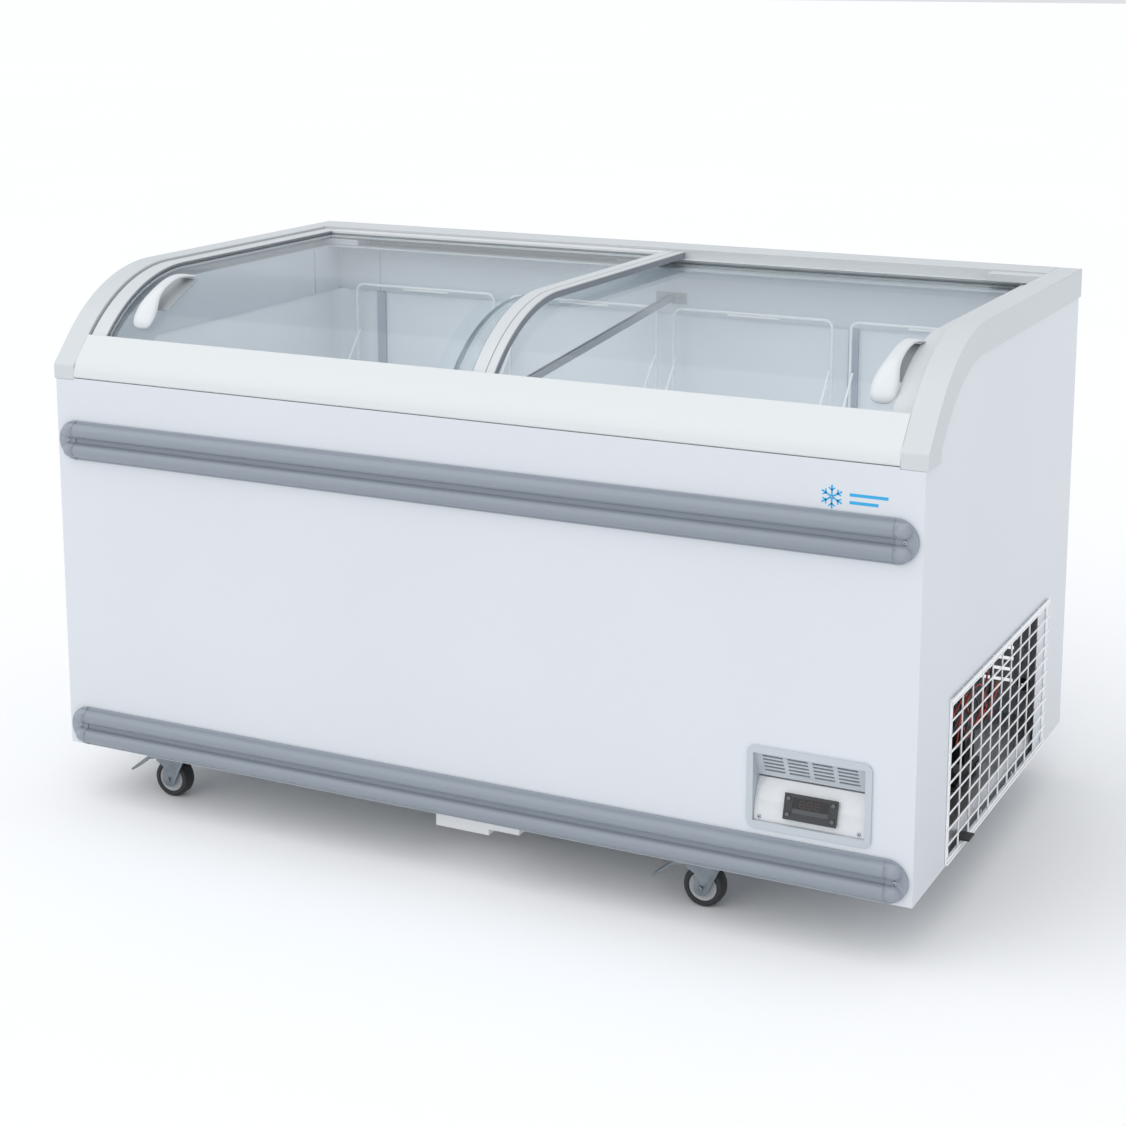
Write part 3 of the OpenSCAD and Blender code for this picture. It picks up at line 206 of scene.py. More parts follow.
# Outer skins: front, side and rear panels of thin sheet steel, folded and sprayed with a white
# powder coat. The foam sticks to their backs and holds them flat.
white_coat = finish("white_powder_coat", (0.66, 0.69, 0.735), 0.34, tone=0.02, tone_scale=2.2, grain=0.22,
                    grain_scale=420.0, depth=0.00012, clearcoat=0.15, rough_swing=0.05, dust=0.10)
for name in ("front_panel", "left_side_panel", "right_side_panel", "rear_panel"):
    dress(nodes[name], white_coat)


# Mark: a plain blue snow crystal and two short bars, cut from thin film and stuck on the front
# panel under the trim's right end.
MARK_X, MARK_Z, MARK_Y = 0.648, 0.681, -0.4172
FILM_BACK = MARK_Y + 0.0002


def flat_bar(a, b, width, y0, y1):
    """Corner points and faces of a thin bar from a to b in the XZ plane."""
    a, b = Vector(a), Vector(b)
    side = (b - a).normalized().orthogonal() * width / 2
    corners = [a + side, b + side, b - side, a - side]
    points = [(c.x, y0, c.y) for c in corners] + [(c.x, y1, c.y) for c in corners]
    faces = [(0, 1, 2, 3), (7, 6, 5, 4), (0, 4, 5, 1), (1, 5, 6, 2), (2, 6, 7, 3), (3, 7, 4, 0)]
    return points, faces


def join_parts(name, parts):
    points, faces = [], []
    for part_points, part_faces in parts:
        start = len(points)
        points += part_points
        faces += [tuple(start + i for i in face) for face in part_faces]
    return new_mesh(name, points, faces)


def tidy_faces(made):
    grid = bmesh.new()
    grid.from_mesh(made.data)
    bmesh.ops.recalc_face_normals(grid, faces=grid.faces)
    grid.to_mesh(made.data)
    grid.free()


def shade(made, angle):
    made.data.shade_smooth()
    made.data.set_sharp_from_angle(angle=math.radians(angle))


crystal = []
for arm in range(6):
    turn = math.radians(30 + 60 * arm)
    along = Vector((math.cos(turn), math.sin(turn)))
    middle = Vector((MARK_X - 0.036, MARK_Z))
    crystal.append(flat_bar(middle + along * 0.001, middle + along * 0.017, 0.0026, MARK_Y, FILM_BACK))
    fork = middle + along * 0.0095
    for side in (-1, 1):
        twig = Vector((math.cos(turn + side * 0.9), math.sin(turn + side * 0.9)))
        crystal.append(flat_bar(fork, fork + twig * 0.006, 0.002, MARK_Y, FILM_BACK))
bars_x = MARK_X - 0.010
for row, length in ((0.0055, 0.056), (-0.0055, 0.042)):
    z = MARK_Z + row
    crystal.append(flat_bar((bars_x, z), (bars_x + length, z), 0.0045, MARK_Y, FILM_BACK))
mark = join_parts("panel_mark", crystal)
tidy_faces(mark)
dress(mark, finish("blue_film", (0.02, 0.38, 0.72), 0.3, tone=0.03, grain=0.05))
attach(mark, "cabinet")


# Base pan and compartment walls: one bent piece of galvanised sheet under the whole cabinet, with the
# zinc's spangle showing.
spangle = finish("galvanised_sheet", (0.62, 0.64, 0.66), 0.38, metal=0.9, tone=0.14, tone_scale=30.0,
                 grain=0.08, grain_scale=90.0, depth=0.0001, rough_swing=0.12, pattern="flakes")
dress(nodes["base_pan"], spangle)


# Liner: a smooth white tub with rounded upright corners. Grey breaker panels are clipped round its
# rim, and two cover strips run down its rear wall.
liner_white = finish("liner_white", (0.90, 0.92, 0.95), 0.24, tone=0.015, grain=0.06, grain_scale=160.0,
                     depth=0.0002, clearcoat=0.2)
lining_grey = finish("lining_grey", (0.68, 0.72, 0.76), 0.45, tone=0.03, grain=0.12, grain_scale=900.0)
cover_grey = finish("cover_strip_grey", (0.52, 0.56, 0.62), 0.42, tone=0.03, grain=0.12, grain_scale=900.0)


def box_part(low, high):
    (x0, y0, z0), (x1, y1, z1) = low, high
    points = [(x0, y0, z0), (x1, y0, z0), (x1, y1, z0), (x0, y1, z0),
              (x0, y0, z1), (x1, y0, z1), (x1, y1, z1), (x0, y1, z1)]
    faces = [(3, 2, 1, 0), (4, 5, 6, 7), (0, 1, 5, 4), (1, 2, 6, 5), (2, 3, 7, 6), (3, 0, 4, 7)]
    return points, faces


def round_edges(made, width, segments=2, angle=35):
    bevel = made.modifiers.new("rounding", "BEVEL")
    bevel.width = width
    bevel.segments = segments
    bevel.limit_method = "ANGLE"
    bevel.angle_limit = math.radians(angle)
    bevel.harden_normals = False


def rounded_copy(name, width, segments=2, angle=35, material=None, new_name=None):
    """A copy of a frame piece with its edges rounded over, as moulding or folding leaves them."""
    source = nodes[name]
    mesh = source.data.copy()
    made = new_object(new_name or name + "_moulded", mesh)
    grid = bmesh.new()
    grid.from_mesh(mesh)
    bmesh.ops.remove_doubles(grid, verts=grid.verts, dist=1e-6)
    bmesh.ops.dissolve_limit(grid, angle_limit=math.radians(0.6), verts=grid.verts, edges=grid.edges)
    grid.to_mesh(mesh)
    grid.free()
    shade(made, angle)
    if width:
        round_edges(made, width, segments, angle)
    if material:
        dress(made, material)
    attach(made, body_of(source)[0])
    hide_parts(name)
    return made


dress(nodes["inner_liner"], liner_white)
dress(nodes["breaker_panels"], lining_grey)
dress(nodes["conduit_covers"], cover_grey)
seam_grey = finish("seam_grey", (0.33, 0.36, 0.40), 0.6, tone=0.05, grain=0.1)
seams = join_parts("lining_seams", [
    box_part((-0.5887, 0.3595, 0.7815), (-0.5877, 0.3600, 0.8660)),
    box_part((-0.6799, 0.2700, 0.7815), (-0.6794, 0.2712, 0.8660)),
])
dress(seams, seam_grey)
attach(seams, "cabinet")


# Foam, evaporator tube, drain pipe and plug: polyurethane foamed between skins and liner round a
# wound aluminium tube. The plastic pipe drains the tub, and a rubber plug closes it.
rigid_foam = finish("rigid_foam", (0.80, 0.70, 0.42), 0.85, tone=0.12, tone_scale=14.0, grain=0.5,
                    grain_scale=260.0, depth=0.0006, rough_swing=0.1)
dress(nodes["foam_insulation"], rigid_foam)
drawn_aluminium = finish("drawn_aluminium", (0.72, 0.73, 0.74), 0.32, metal=1.0, tone=0.05, grain=0.1,
                         grain_scale=500.0, stretch=(0.1, 1, 1))
dress(nodes["evaporator_coil"], drawn_aluminium)
white_plastic = finish("moulded_white", (0.80, 0.81, 0.82), 0.42, tone=0.03, grain=0.12, grain_scale=800.0)
dress(nodes["drain_pipe"], white_plastic)
plug_rubber = finish("plug_rubber", (0.10, 0.10, 0.11), 0.7, tone=0.1, grain=0.25, grain_scale=600.0)
dress(nodes["drain_plug"], plug_rubber)


# Front trim: one extruded length of pale plastic with a rounded nose, a lip over the lids and the two
# tracks they slide in. Screwed to the cabinet under the lip.
PANEL_Y, TRIM_BOTTOM, TRIM_HALF = -0.417, 0.733, 0.709
ROOF_Y, ROOF_Z, ROOF_RADIUS, ROOF_TOP = PANEL_Y + 0.265, 0.6, 0.3, 0.9
SLOPE = math.radians(48)
SLOPE_TOP = Vector((ROOF_Y - ROOF_RADIUS * math.sin(SLOPE), ROOF_Z + ROOF_RADIUS * math.cos(SLOPE)))
UP_SLOPE = Vector((math.cos(SLOPE), math.sin(SLOPE)))
OUT_OF_SLOPE = Vector((-math.sin(SLOPE), math.cos(SLOPE)))


def on_slope(run, deep):
    """The (y, z) place a run up the slope from the top of the nose and a depth under it."""
    return SLOPE_TOP + UP_SLOPE * run - OUT_OF_SLOPE * deep


def slope_block(run0, run1, deep0, deep1):
    return [on_slope(run0, deep0), on_slope(run1, deep0), on_slope(run1, deep1), on_slope(run0, deep1)]


def rounded_path(corners):
    """Points along a path of (point, radius) corners, each corner turned by an arc."""
    points = []
    for i, (corner, radius) in enumerate(corners):
        corner = Vector(corner)
        if not radius or i in (0, len(corners) - 1):
            points.append(corner)
            continue
        before = (Vector(corners[i - 1][0]) - corner).normalized()
        after = (Vector(corners[i + 1][0]) - corner).normalized()
        half = before.angle(after) / 2
        reach = radius / math.tan(half)
        centre = corner + (before + after).normalized() * radius / math.sin(half)
        start, end = corner + before * reach - centre, corner + after * reach - centre
        steps = max(3, int(math.degrees(math.pi - 2 * half) / 5))
        for k in range(steps + 1):
            points.append(centre + start.lerp(end, k / steps).normalized() * radius)
    return points


def extruded(name, outlines, x0, x1):
    """Closed (y, z) outlines drawn out along X as one object."""
    points, faces = [], []
    for outline in outlines:
        count, start = len(outline), len(points)
        far = start + count
        points += [(x, p[0], p[1]) for x in (x0, x1) for p in outline]
        for i in range(count):
            after = (i + 1) % count
            faces.append((start + i, start + after, far + after, far + i))
        faces.append(tuple(start + i for i in range(count)))
        faces.append(tuple(far + i for i in reversed(range(count))))
    made = new_mesh(name, points, faces)
    tidy_faces(made)
    return made


nose = Vector((PANEL_Y, SLOPE_TOP.y - (SLOPE_TOP.x - PANEL_Y) * math.tan(SLOPE)))
inner_nose = Vector((PANEL_Y + 0.003, nose.y - 0.0012))
skin = rounded_path([
    ((PANEL_Y + 0.024, TRIM_BOTTOM), 0), ((PANEL_Y, TRIM_BOTTOM), 0.004), (nose, 0.046),
    (on_slope(0, 0), 0.0013), (on_slope(0, 0.003), 0.0013), (on_slope(-0.003, 0.003), 0),
    (inner_nose, 0.043), ((PANEL_Y + 0.003, TRIM_BOTTOM + 0.003), 0.001),
    ((PANEL_Y + 0.024, TRIM_BOTTOM + 0.003), 0)])
track_wall = slope_block(-0.021, -0.018, 0.0305, 0.0020)
ledge_between_lids = slope_block(-0.018, -0.002, 0.0175, 0.0160)
track_bottom = slope_block(-0.021, 0.004, 0.0335, 0.0305)
front_trim = extruded("front_trim_moulding", [skin, track_wall, ledge_between_lids, track_bottom],
                      -TRIM_HALF, TRIM_HALF)
shade(front_trim, 40)
trim_white = finish("trim_white", (0.66, 0.69, 0.70), 0.36, tone=0.02, tone_scale=3.0, grain=0.1,
                    grain_scale=260.0, stretch=(0.05, 1, 1), clearcoat=0.1)
dress(front_trim, trim_white)
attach(front_trim, "cabinet")
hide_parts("front_trim")


# End trims: moulded channels of pale grey plastic that follow the roofline. They are pushed over the
# upper edges of the side panels and cover the ends of the front and rear trims.
trim_grey = finish("trim_grey", (0.58, 0.61, 0.63), 0.4, tone=0.025, tone_scale=4.0, grain=0.14,
                   grain_scale=700.0, clearcoat=0.05)
for name in ("left_end_trim", "right_end_trim"):
    rounded_copy(name, 0.0012, 2, 40, trim_grey)


# Rear trim: an extruded box section of pale grey plastic along the back. It carries the back ends of
# both lid tracks, and two thin dark strips of painted shade run along its top, near its front and back edges.
rounded_copy("rear_track", 0.0008, 2, 40, trim_grey)
# Painted shade lines: thin dark strips that stand for the shade in narrow gaps and under lips.
shade_line_grey = finish("painted_shade_line", (0.25, 0.27, 0.30), 0.55, tone=0.05, grain=0.1)
SHADE_LINE_HALF, SHADE_LINE_LOW, SHADE_LINE_HIGH = 0.7085, 0.8999, 0.90005
rear_shade_lines = join_parts("rear_trim_shade_lines", [
    box_part((-SHADE_LINE_HALF, 0.3533, SHADE_LINE_LOW), (SHADE_LINE_HALF, 0.3549, SHADE_LINE_HIGH)),
    box_part((-SHADE_LINE_HALF, 0.4290, SHADE_LINE_LOW), (SHADE_LINE_HALF, 0.4297, SHADE_LINE_HIGH))])
dress(rear_shade_lines, shade_line_grey)
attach(rear_shade_lines, "cabinet")


# Lids: bent clear glass glued into grey extruded edges. The left lid runs in the upper track and the
# right one in the lower, and a soft dark seal closes the gap where they meet.
def roof_outward(angle):
    return Vector((-math.sin(angle), math.cos(angle)))


def roof_stations(deep, first_run, last_y):
    """Places along the roofline at one depth, from the slope, round the bend and on to the back."""
    radius = ROOF_RADIUS - deep
    centre = Vector((ROOF_Y, ROOF_Z))
    made = [on_slope(first_run, deep)]
    bend_steps = 16
    for k in range(bend_steps):
        made.append(centre + roof_outward(SLOPE * (bend_steps - k) / bend_steps) * radius)
    made.append(centre + Vector((0, radius)))
    made.append(Vector((last_y, ROOF_TOP - deep)))
    return made


def roof_strip(name, x0, x1, top, bottom, first_run, last_y):
    """A thin strip that follows the roofline between two depths."""
    upper = roof_stations(top, first_run, last_y)
    lower = roof_stations(bottom, first_run, last_y)
    count = len(upper)
    points = [(x, p.x, p.y) for p in upper + lower for x in (x0, x1)]
    faces = []
    for i in range(count - 1):
        a, b = 2 * i, 2 * (i + count)
        faces += [(a, a + 1, a + 3, a + 2), (b, b + 2, b + 3, b + 1)]
        faces += [(a, a + 2, b + 2, b), (a + 1, b + 1, b + 3, a + 3)]
    last, far = 2 * (count - 1), 2 * (2 * count - 1)
    faces += [(0, 2 * count, 2 * count + 1, 1), (last, last + 1, far + 1, far)]
    made = new_mesh(name, points, faces)
    tidy_faces(made)
    shade(made, 40)
    return made


def clear_glass(name, tint):
    """Clear glass with faint wipe marks, which lets the light through to the tub."""
    made = bpy.data.materials.new(name)
    made.use_nodes = True
    tree = made.node_tree
    tree.nodes.remove(tree.nodes["Principled BSDF"])
    where = add_node(tree, "ShaderNodeTexCoord")
    smear = add_node(tree, "ShaderNodeTexNoise", Scale=9.0, Detail=6.0)
    tree.links.new(where.outputs["Object"], smear.inputs["Vector"])
    spread = add_node(tree, "ShaderNodeMapRange")
    spread.inputs["From Min"].default_value = 0.45
    spread.inputs["From Max"].default_value = 0.8
    spread.inputs["To Min"].default_value = 0.01
    spread.inputs["To Max"].default_value = 0.09
    tree.links.new(smear.outputs["Fac"], spread.inputs["Value"])
    shine = add_node(tree, "ShaderNodeBsdfGlossy")
    shine.inputs["Color"].default_value = (0.9, 0.93, 0.95, 1)
    tree.links.new(spread.outputs["Result"], shine.inputs["Roughness"])
    through = add_node(tree, "ShaderNodeBsdfTransparent")
    through.inputs["Color"].default_value = (*tint, 1)
    glance = add_node(tree, "ShaderNodeLayerWeight", Blend=0.5)
    steep = add_node(tree, "ShaderNodeMath", operation="POWER")
    steep.inputs[1].default_value = 4.5
    tree.links.new(glance.outputs["Facing"], steep.inputs[0])
    share = add_node(tree, "ShaderNodeMapRange")
    share.inputs["To Min"].default_value = 0.02
    share.inputs["To Max"].default_value = 0.45
    tree.links.new(steep.outputs["Value"], share.inputs["Value"])
    mix = add_node(tree, "ShaderNodeMixShader")
    tree.links.new(share.outputs["Result"], mix.inputs["Fac"])
    tree.links.new(through.outputs["BSDF"], mix.inputs[1])
    tree.links.new(shine.outputs["BSDF"], mix.inputs[2])
    tree.links.new(mix.outputs["Shader"], tree.nodes["Material Output"].inputs["Surface"])
    return made


lid_glass = clear_glass("lid_glass", (0.965, 0.98, 0.985))
clear_edge = clear_glass("clear_edge", (0.97, 0.985, 0.99))
profile_grey = finish("profile_grey", (0.60, 0.63, 0.65), 0.34, tone=0.03, grain=0.1, grain_scale=500.0,
                      clearcoat=0.1)
rail_grey = finish("rail_grey", (0.70, 0.72, 0.73), 0.38, tone=0.03, grain=0.1, grain_scale=300.0,
                   stretch=(0.05, 1, 1))
RIGHT_LID_MIDDLE = 0.3
for side in ("left", "right"):
    rounded_copy(side + "_lid_glass", 0, material=lid_glass, new_name=side + "_bent_glass")
    edges = rounded_copy(side + "_lid_side_profiles", 0.0008, 2, 40, profile_grey)
    if side == "right":  # its inner edge, under the other lid, is clear plastic
        edges.data.materials.append(clear_edge)
        for face in edges.data.polygons:
            face.material_index = int(face.center.x < RIGHT_LID_MIDDLE)
    rounded_copy(side + "_lid_rails", 0.0008, 2, 40, rail_grey)

seal_grey = finish("seal_grey", (0.24, 0.26, 0.29), 0.6, tone=0.06, grain=0.2, grain_scale=700.0)
UPPER_LID_BACK = 0.351
# The groove and lip strips are painted shade lines along the lid profiles; the meeting seal is a real dark
# part.
for name, x0, x1, top, bottom, first_run, material in (
        ("meeting_seal", 0.0550, 0.0562, 0.0050, 0.0146, -0.0020, seal_grey),
        ("profile_groove", 0.0395, 0.0411, 0.0034, 0.0036, -0.0010, shade_line_grey),
        ("profile_lip", 0.0168, 0.0182, 0.0045, 0.0074, -0.0010, shade_line_grey),
        ("outer_strip_lip", -0.6752, -0.6738, 0.0045, 0.0074, -0.0010, shade_line_grey)):
    strip = roof_strip(name, x0, x1, top, bottom, first_run, UPPER_LID_BACK)
    dress(strip, material)
    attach(strip, "left_lid")


# Lid pulls: glossy white plastic mouldings glued to the outer edge of each glass. Each is an arch for
# the fingers with a spoon-shaped foot, over a shallow grey plate whose dark grey is partly painted shade
# under the arch.
pull_white = finish("pull_white", (0.66, 0.69, 0.71), 0.22, tone=0.015, grain=0.05, grain_scale=500.0,
                    clearcoat=0.4)
dish_grey_and_painted_shade = finish("dish_grey_and_painted_shade", (0.36, 0.39, 0.41), 0.4, tone=0.03, grain=0.1, grain_scale=500.0)
PULL_START = math.radians(44)
PULL_SECTIONS = (  # run along the lid, height over it, half width, half thickness, sideways (mm)
    (3, 1.5, 9, 1.5, -9), (7, 4.0, 16, 4.0, -9), (15, 6.5, 20, 6.5, -9), (28, 9.0, 21, 8.5, -9),
    (42, 13.0, 19, 8.0, -9), (54, 17.5, 15, 6.0, -8), (66, 21.0, 12, 4.4, -6), (80, 22.6, 10.5, 3.4, -4),
    (95, 22.6, 10, 3.2, -2), (110, 20.5, 10, 3.4, 0), (124, 16.0, 11, 3.8, 1), (137, 9.5, 13, 4.0, 2),
    (148, 4.0, 14, 3.4, 2), (156, 1.4, 10, 1.4, 2))
UNDER_EDGE = 0.004  # the glass lies this far under the top of its edges


def finger_dish(name, body, radius, middle_x):
    """A shallow grey plate under the arch, curved with the glass; its dark grey is partly painted shade under
    the arch.
    """
    points, faces, steps = [], [], 10
    for k in range(steps + 1):
        outward = roof_outward(PULL_START - (0.046 + 0.096 * k / steps) / radius)
        narrow = 0.004 * (abs(2 * k / steps - 1) ** 3)
        for high, x in ((0.0001, -0.020), (0.0001, 0.024), (0.0018, 0.024), (0.0018, -0.020)):
            p = Vector((ROOF_Y, ROOF_Z)) + outward * (radius + high)
            points.append((middle_x + x - math.copysign(narrow, x), p.x, p.y))
    for k in range(steps):
        for j in range(4):
            a, b = 4 * k + j, 4 * k + (j + 1) % 4
            faces.append((a, b, b + 4, a + 4))
    faces += [(3, 2, 1, 0), tuple(4 * steps + j for j in range(4))]
    dish = new_mesh(name, points, faces)
    tidy_faces(dish)
    shade(dish, 40)
    round_edges(dish, 0.0006, 2)
    dress(dish, dish_grey_and_painted_shade)
    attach(dish, body)


def ring_faces(rings, around):
    """The quads between neighbouring rings of points, and the face that closes the first ring."""
    faces = []
    for i in range(rings - 1):
        for k in range(around):
            a, b = i * around + k, i * around + (k + 1) % around
            faces.append((a, b, b + around, a + around))
    faces.append(tuple(reversed(range(around))))
    return faces


def pull(name, body, deep, middle_x):
    """An arched pull on the glass that lies at one depth under the roofline."""
    points, around = [], 20
    radius = ROOF_RADIUS - deep
    for run, high, wide, thick, sideways in PULL_SECTIONS:
        outward = roof_outward(PULL_START - run / 1000 / radius)
        base = Vector((ROOF_Y, ROOF_Z)) + outward * (radius - UNDER_EDGE)
        for k in range(around):
            turn = 2 * math.pi * k / around
            squared = math.copysign(abs(math.cos(turn)) ** 0.8, math.cos(turn))
            p = base + outward * max((high + thick * math.sin(turn)) / 1000, 0.0002)
            points.append((middle_x + (sideways + wide * squared) / 1000, p.x, p.y))
    rings = len(PULL_SECTIONS)
    faces = ring_faces(rings, around)
    faces.append(tuple((rings - 1) * around + k for k in range(around)))
    made = new_mesh(name, points, faces)
    tidy_faces(made)
    soft = made.modifiers.new("soft", "SUBSURF")
    soft.levels = soft.render_levels = 2
    made.data.shade_smooth()
    dress(made, pull_white)
    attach(made, body)
    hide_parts(body + "_handle")
    finger_dish(name + "_dish", body, radius - UNDER_EDGE, middle_x)


pull("left_pull", "left_lid", 0.0035, -0.607)
pull("right_pull", "right_lid", 0.0180, 0.665)


# Bumpers: grey plastic rails extruded with two half-round barrels, and moulded end caps of the same
# section, each held to the front panel by one screw.
bumper_grey = finish("bumper_grey", (0.25, 0.285, 0.33), 0.34, tone=0.05, tone_scale=6.0, grain=0.12,
                     grain_scale=350.0, stretch=(0.04, 1, 1), clearcoat=0.15)
for name in ("upper_bumper", "lower_bumper"):
    rounded_copy(name, 0.001, 2, 50, bumper_grey)
cap_grey = finish("cap_grey", (0.28, 0.315, 0.36), 0.4, tone=0.04, grain=0.15, grain_scale=600.0)
rounded_copy("bumper_end_caps", 0, angle=50, material=cap_grey)


# Screws: pan-headed cross-recess screws, zinc plated, in the bumper caps, the fascia, the grille and
# the cross bar's rear bracket.
zinc = finish("bright_zinc", (0.42, 0.46, 0.50), 0.33, metal=0.85, tone=0.08, tone_scale=60.0, grain=0.12,
              grain_scale=900.0, depth=0.00005, rough_swing=0.1)


def screw_head(centre, outward, radius, high):
    """A domed head with a cross cut in it."""
    outward = Vector(outward)
    turn = outward.to_track_quat("Z", "Y")
    rings = ((1.0, 0.0), (1.0, 0.25), (0.93, 0.6), (0.72, 0.88), (0.45, 1.0))
    points, around = [], 24

    def add_point(k, size, rise):
        a = 2 * math.pi * k / around
        points.append(turn @ Vector((math.cos(a) * radius * size, math.sin(a) * radius * size, rise * high)))

    for size, rise in rings:
        for k in range(around):
            add_point(k, size, rise)
    faces = ring_faces(len(rings), around)
    top = (len(rings) - 1) * around
    inner = len(points)
    for k in range(around):
        in_cross = k % 6 in (0, 1, 5)
        add_point(k, 0.40 if in_cross else 0.16, 0.45 if in_cross else 1.0)
    points.append(turn @ Vector((0, 0, 0.4 * high)))
    for k in range(around):
        after = (k + 1) % around
        faces.append((top + k, top + after, inner + after, inner + k))
        faces.append((inner + k, inner + after, len(points) - 1))
    return [tuple(Vector(centre) + p) for p in points], faces


TO_FRONT, TO_RIGHT = (0, -1, 0), (1, 0, 0)
GRILLE_FIRST, GRILLE_RUN = PANEL_Y + 0.159, 0.557
heads = []
for x in (-0.721, 0.721):
    for z in (0.131, 0.629):
        heads.append(screw_head((x, PANEL_Y - 0.005, z), TO_FRONT, 0.0038, 0.0020))
for x in (0.512, 0.664):
    heads.append(screw_head((x, PANEL_Y + 0.002, 0.191), TO_FRONT, 0.003, 0.0016))
for share in (0.02, 0.34, 0.66, 0.98):
    for z in (0.114, 0.343):
        heads.append(screw_head((0.746, GRILLE_FIRST + GRILLE_RUN * share, z), TO_RIGHT, 0.0035, 0.0012))
for x in (0.007, 0.047):
    heads.append(screw_head((x, 0.358, 0.810), TO_FRONT, 0.004, 0.0018))
screws = join_parts("cross_head_screws", heads)
tidy_faces(screws)
shade(screws, 40)
dress(screws, zinc)
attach(screws, "cabinet")
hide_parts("screws")


# Control panel: a light grey moulded bezel with a slotted vent, set in the front panel. A glossy white
# curved fascia in it, held by two screws, carries a dark plastic thermostat with four keys.
bezel_grey = finish("bezel_grey", (0.50, 0.54, 0.58), 0.4, tone=0.03, grain=0.15, grain_scale=800.0)
rounded_copy("control_bezel", 0.0012, 3, 40, bezel_grey)
fascia_white = finish("fascia_white", (0.64, 0.66, 0.68), 0.12, tone=0.01, grain=0.03, grain_scale=200.0,
                      clearcoat=0.5)
rounded_copy("control_fascia", 0.0006, 2, 40, fascia_white)
panel_dark = finish("thermostat_black", (0.035, 0.038, 0.042), 0.42, tone=0.1, grain=0.2, grain_scale=1200.0)
rounded_copy("thermostat", 0.0008, 2, 40, panel_dark)
TILT = math.radians(15)
THERMOSTAT = Matrix.Translation((0.5905, -0.4105, 0.213)) @ Matrix.Rotation(-TILT, 4, "X")


def on_thermostat(made):
    made.data.transform(THERMOSTAT)
    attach(made, "cabinet")


DISPLAY_HALF, DISPLAY_LOW, DISPLAY_HIGH, BAND_TOP = 0.0272, -0.0087, 0.0137, -0.0020
window = join_parts("display_window", [
    box_part((-DISPLAY_HALF, -0.00552, DISPLAY_LOW), (DISPLAY_HALF, -0.0050, DISPLAY_HIGH))])
dress(window, finish("display_gloss", (0.012, 0.013, 0.015), 0.08, tone=0.05, grain=0.02, clearcoat=0.6))
on_thermostat(window)
lower_band = join_parts("display_band", [
    box_part((-DISPLAY_HALF, -0.00560, DISPLAY_LOW), (DISPLAY_HALF, -0.0054, BAND_TOP))])
dress(lower_band, finish("display_smoke", (0.07, 0.075, 0.08), 0.18, tone=0.05, grain=0.02, clearcoat=0.4))
on_thermostat(lower_band)
CELL_WIDTH, CELL_FRONT, CELL_BACK = 0.0007, -0.00566, -0.0055
cells = []
for digit in range(3):
    left = -0.016 + digit * 0.0115
    for z in (0.0010, 0.0058, 0.0106):
        cells.append(flat_bar((left, z), (left + 0.0062, z), CELL_WIDTH, CELL_FRONT, CELL_BACK))
    for x in (left - 0.0005, left + 0.0067):
        for z0, z1 in ((0.0014, 0.0054), (0.0062, 0.0102)):
            cells.append(flat_bar((x, z0), (x, z1), CELL_WIDTH, CELL_FRONT, CELL_BACK))
digits = join_parts("unlit_digits", cells)
tidy_faces(digits)
dress(digits, finish("unlit_segment", (0.10, 0.055, 0.05), 0.3, tone=0.05, grain=0.02))
on_thermostat(digits)
key_grey = finish("key_grey", (0.11, 0.115, 0.12), 0.5, tone=0.06, grain=0.15, grain_scale=1000.0)
for name in ("button_power", "button_up", "button_set", "button_down"):
    rounded_copy(name, 0.0006, 3, 50, key_grey)


# Side grille: steel wires welded where they cross and dipped in white plastic, screwed to the right
# side panel over the machine compartment.
dipped_wire = finish("dipped_wire", (0.97, 0.975, 0.98), 0.32, tone=0.03, tone_scale=20.0, grain=0.2,
                     grain_scale=420.0, depth=0.0002)
dress(nodes["side_grille"], dipped_wire)
nodes["side_grille"].data.shade_smooth()
nodes["side_grille"].data.set_sharp_from_angle(angle=math.radians(40))


# Machinery: a black enamelled steel compressor, a finned black condenser with its fan, and brazed
# copper pipes, bolted to the base pan. Loose sleeved wires hang behind the grille.
black_enamel = finish("black_enamel", (0.012, 0.012, 0.014), 0.3, tone=0.2, grain=0.15, grain_scale=500.0,
                      clearcoat=0.3)
rounded_copy("compressor", 0.003, 3, 50, black_enamel)
black_fins = finish("black_fins", (0.03, 0.032, 0.036), 0.45, metal=0.3, tone=0.25, tone_scale=25.0,
                    grain=0.2, grain_scale=700.0)
dress(nodes["condenser"], black_fins)
motor_grey = finish("motor_grey", (0.10, 0.10, 0.11), 0.5, tone=0.1, grain=0.3, grain_scale=500.0)
rounded_copy("fan_motor", 0.001, 2, 50, motor_grey)
fan_black = finish("fan_black", (0.04, 0.042, 0.045), 0.5, tone=0.1, grain=0.2, grain_scale=500.0)
rounded_copy("fan_blade", 0.0005, 2, 50, fan_black)
copper = finish("drawn_copper", (0.62, 0.30, 0.16), 0.3, metal=1.0, tone=0.2, tone_scale=25.0, grain=0.1,
                grain_scale=500.0)
rounded_copy("refrigerant_pipes", 0, 2, 40, copper)


def smooth_cord(name, route, thickness, material):
    """A round sleeved wire that runs smoothly past its route's points."""
    curve = bpy.data.curves.new(name, "CURVE")
    curve.dimensions = "3D"
    curve.bevel_depth = thickness / 2
    curve.bevel_resolution = 4
    curve.resolution_u = 8
    spline = curve.splines.new("NURBS")
    spline.points.add(len(route) - 1)
    for point, place in zip(spline.points, route):
        point.co = (*place, 1)
    spline.use_endpoint_u = True
    spline.order_u = 4
    made = new_object(name, curve)
    curve.materials.append(material)
    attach(made, "cabinet")


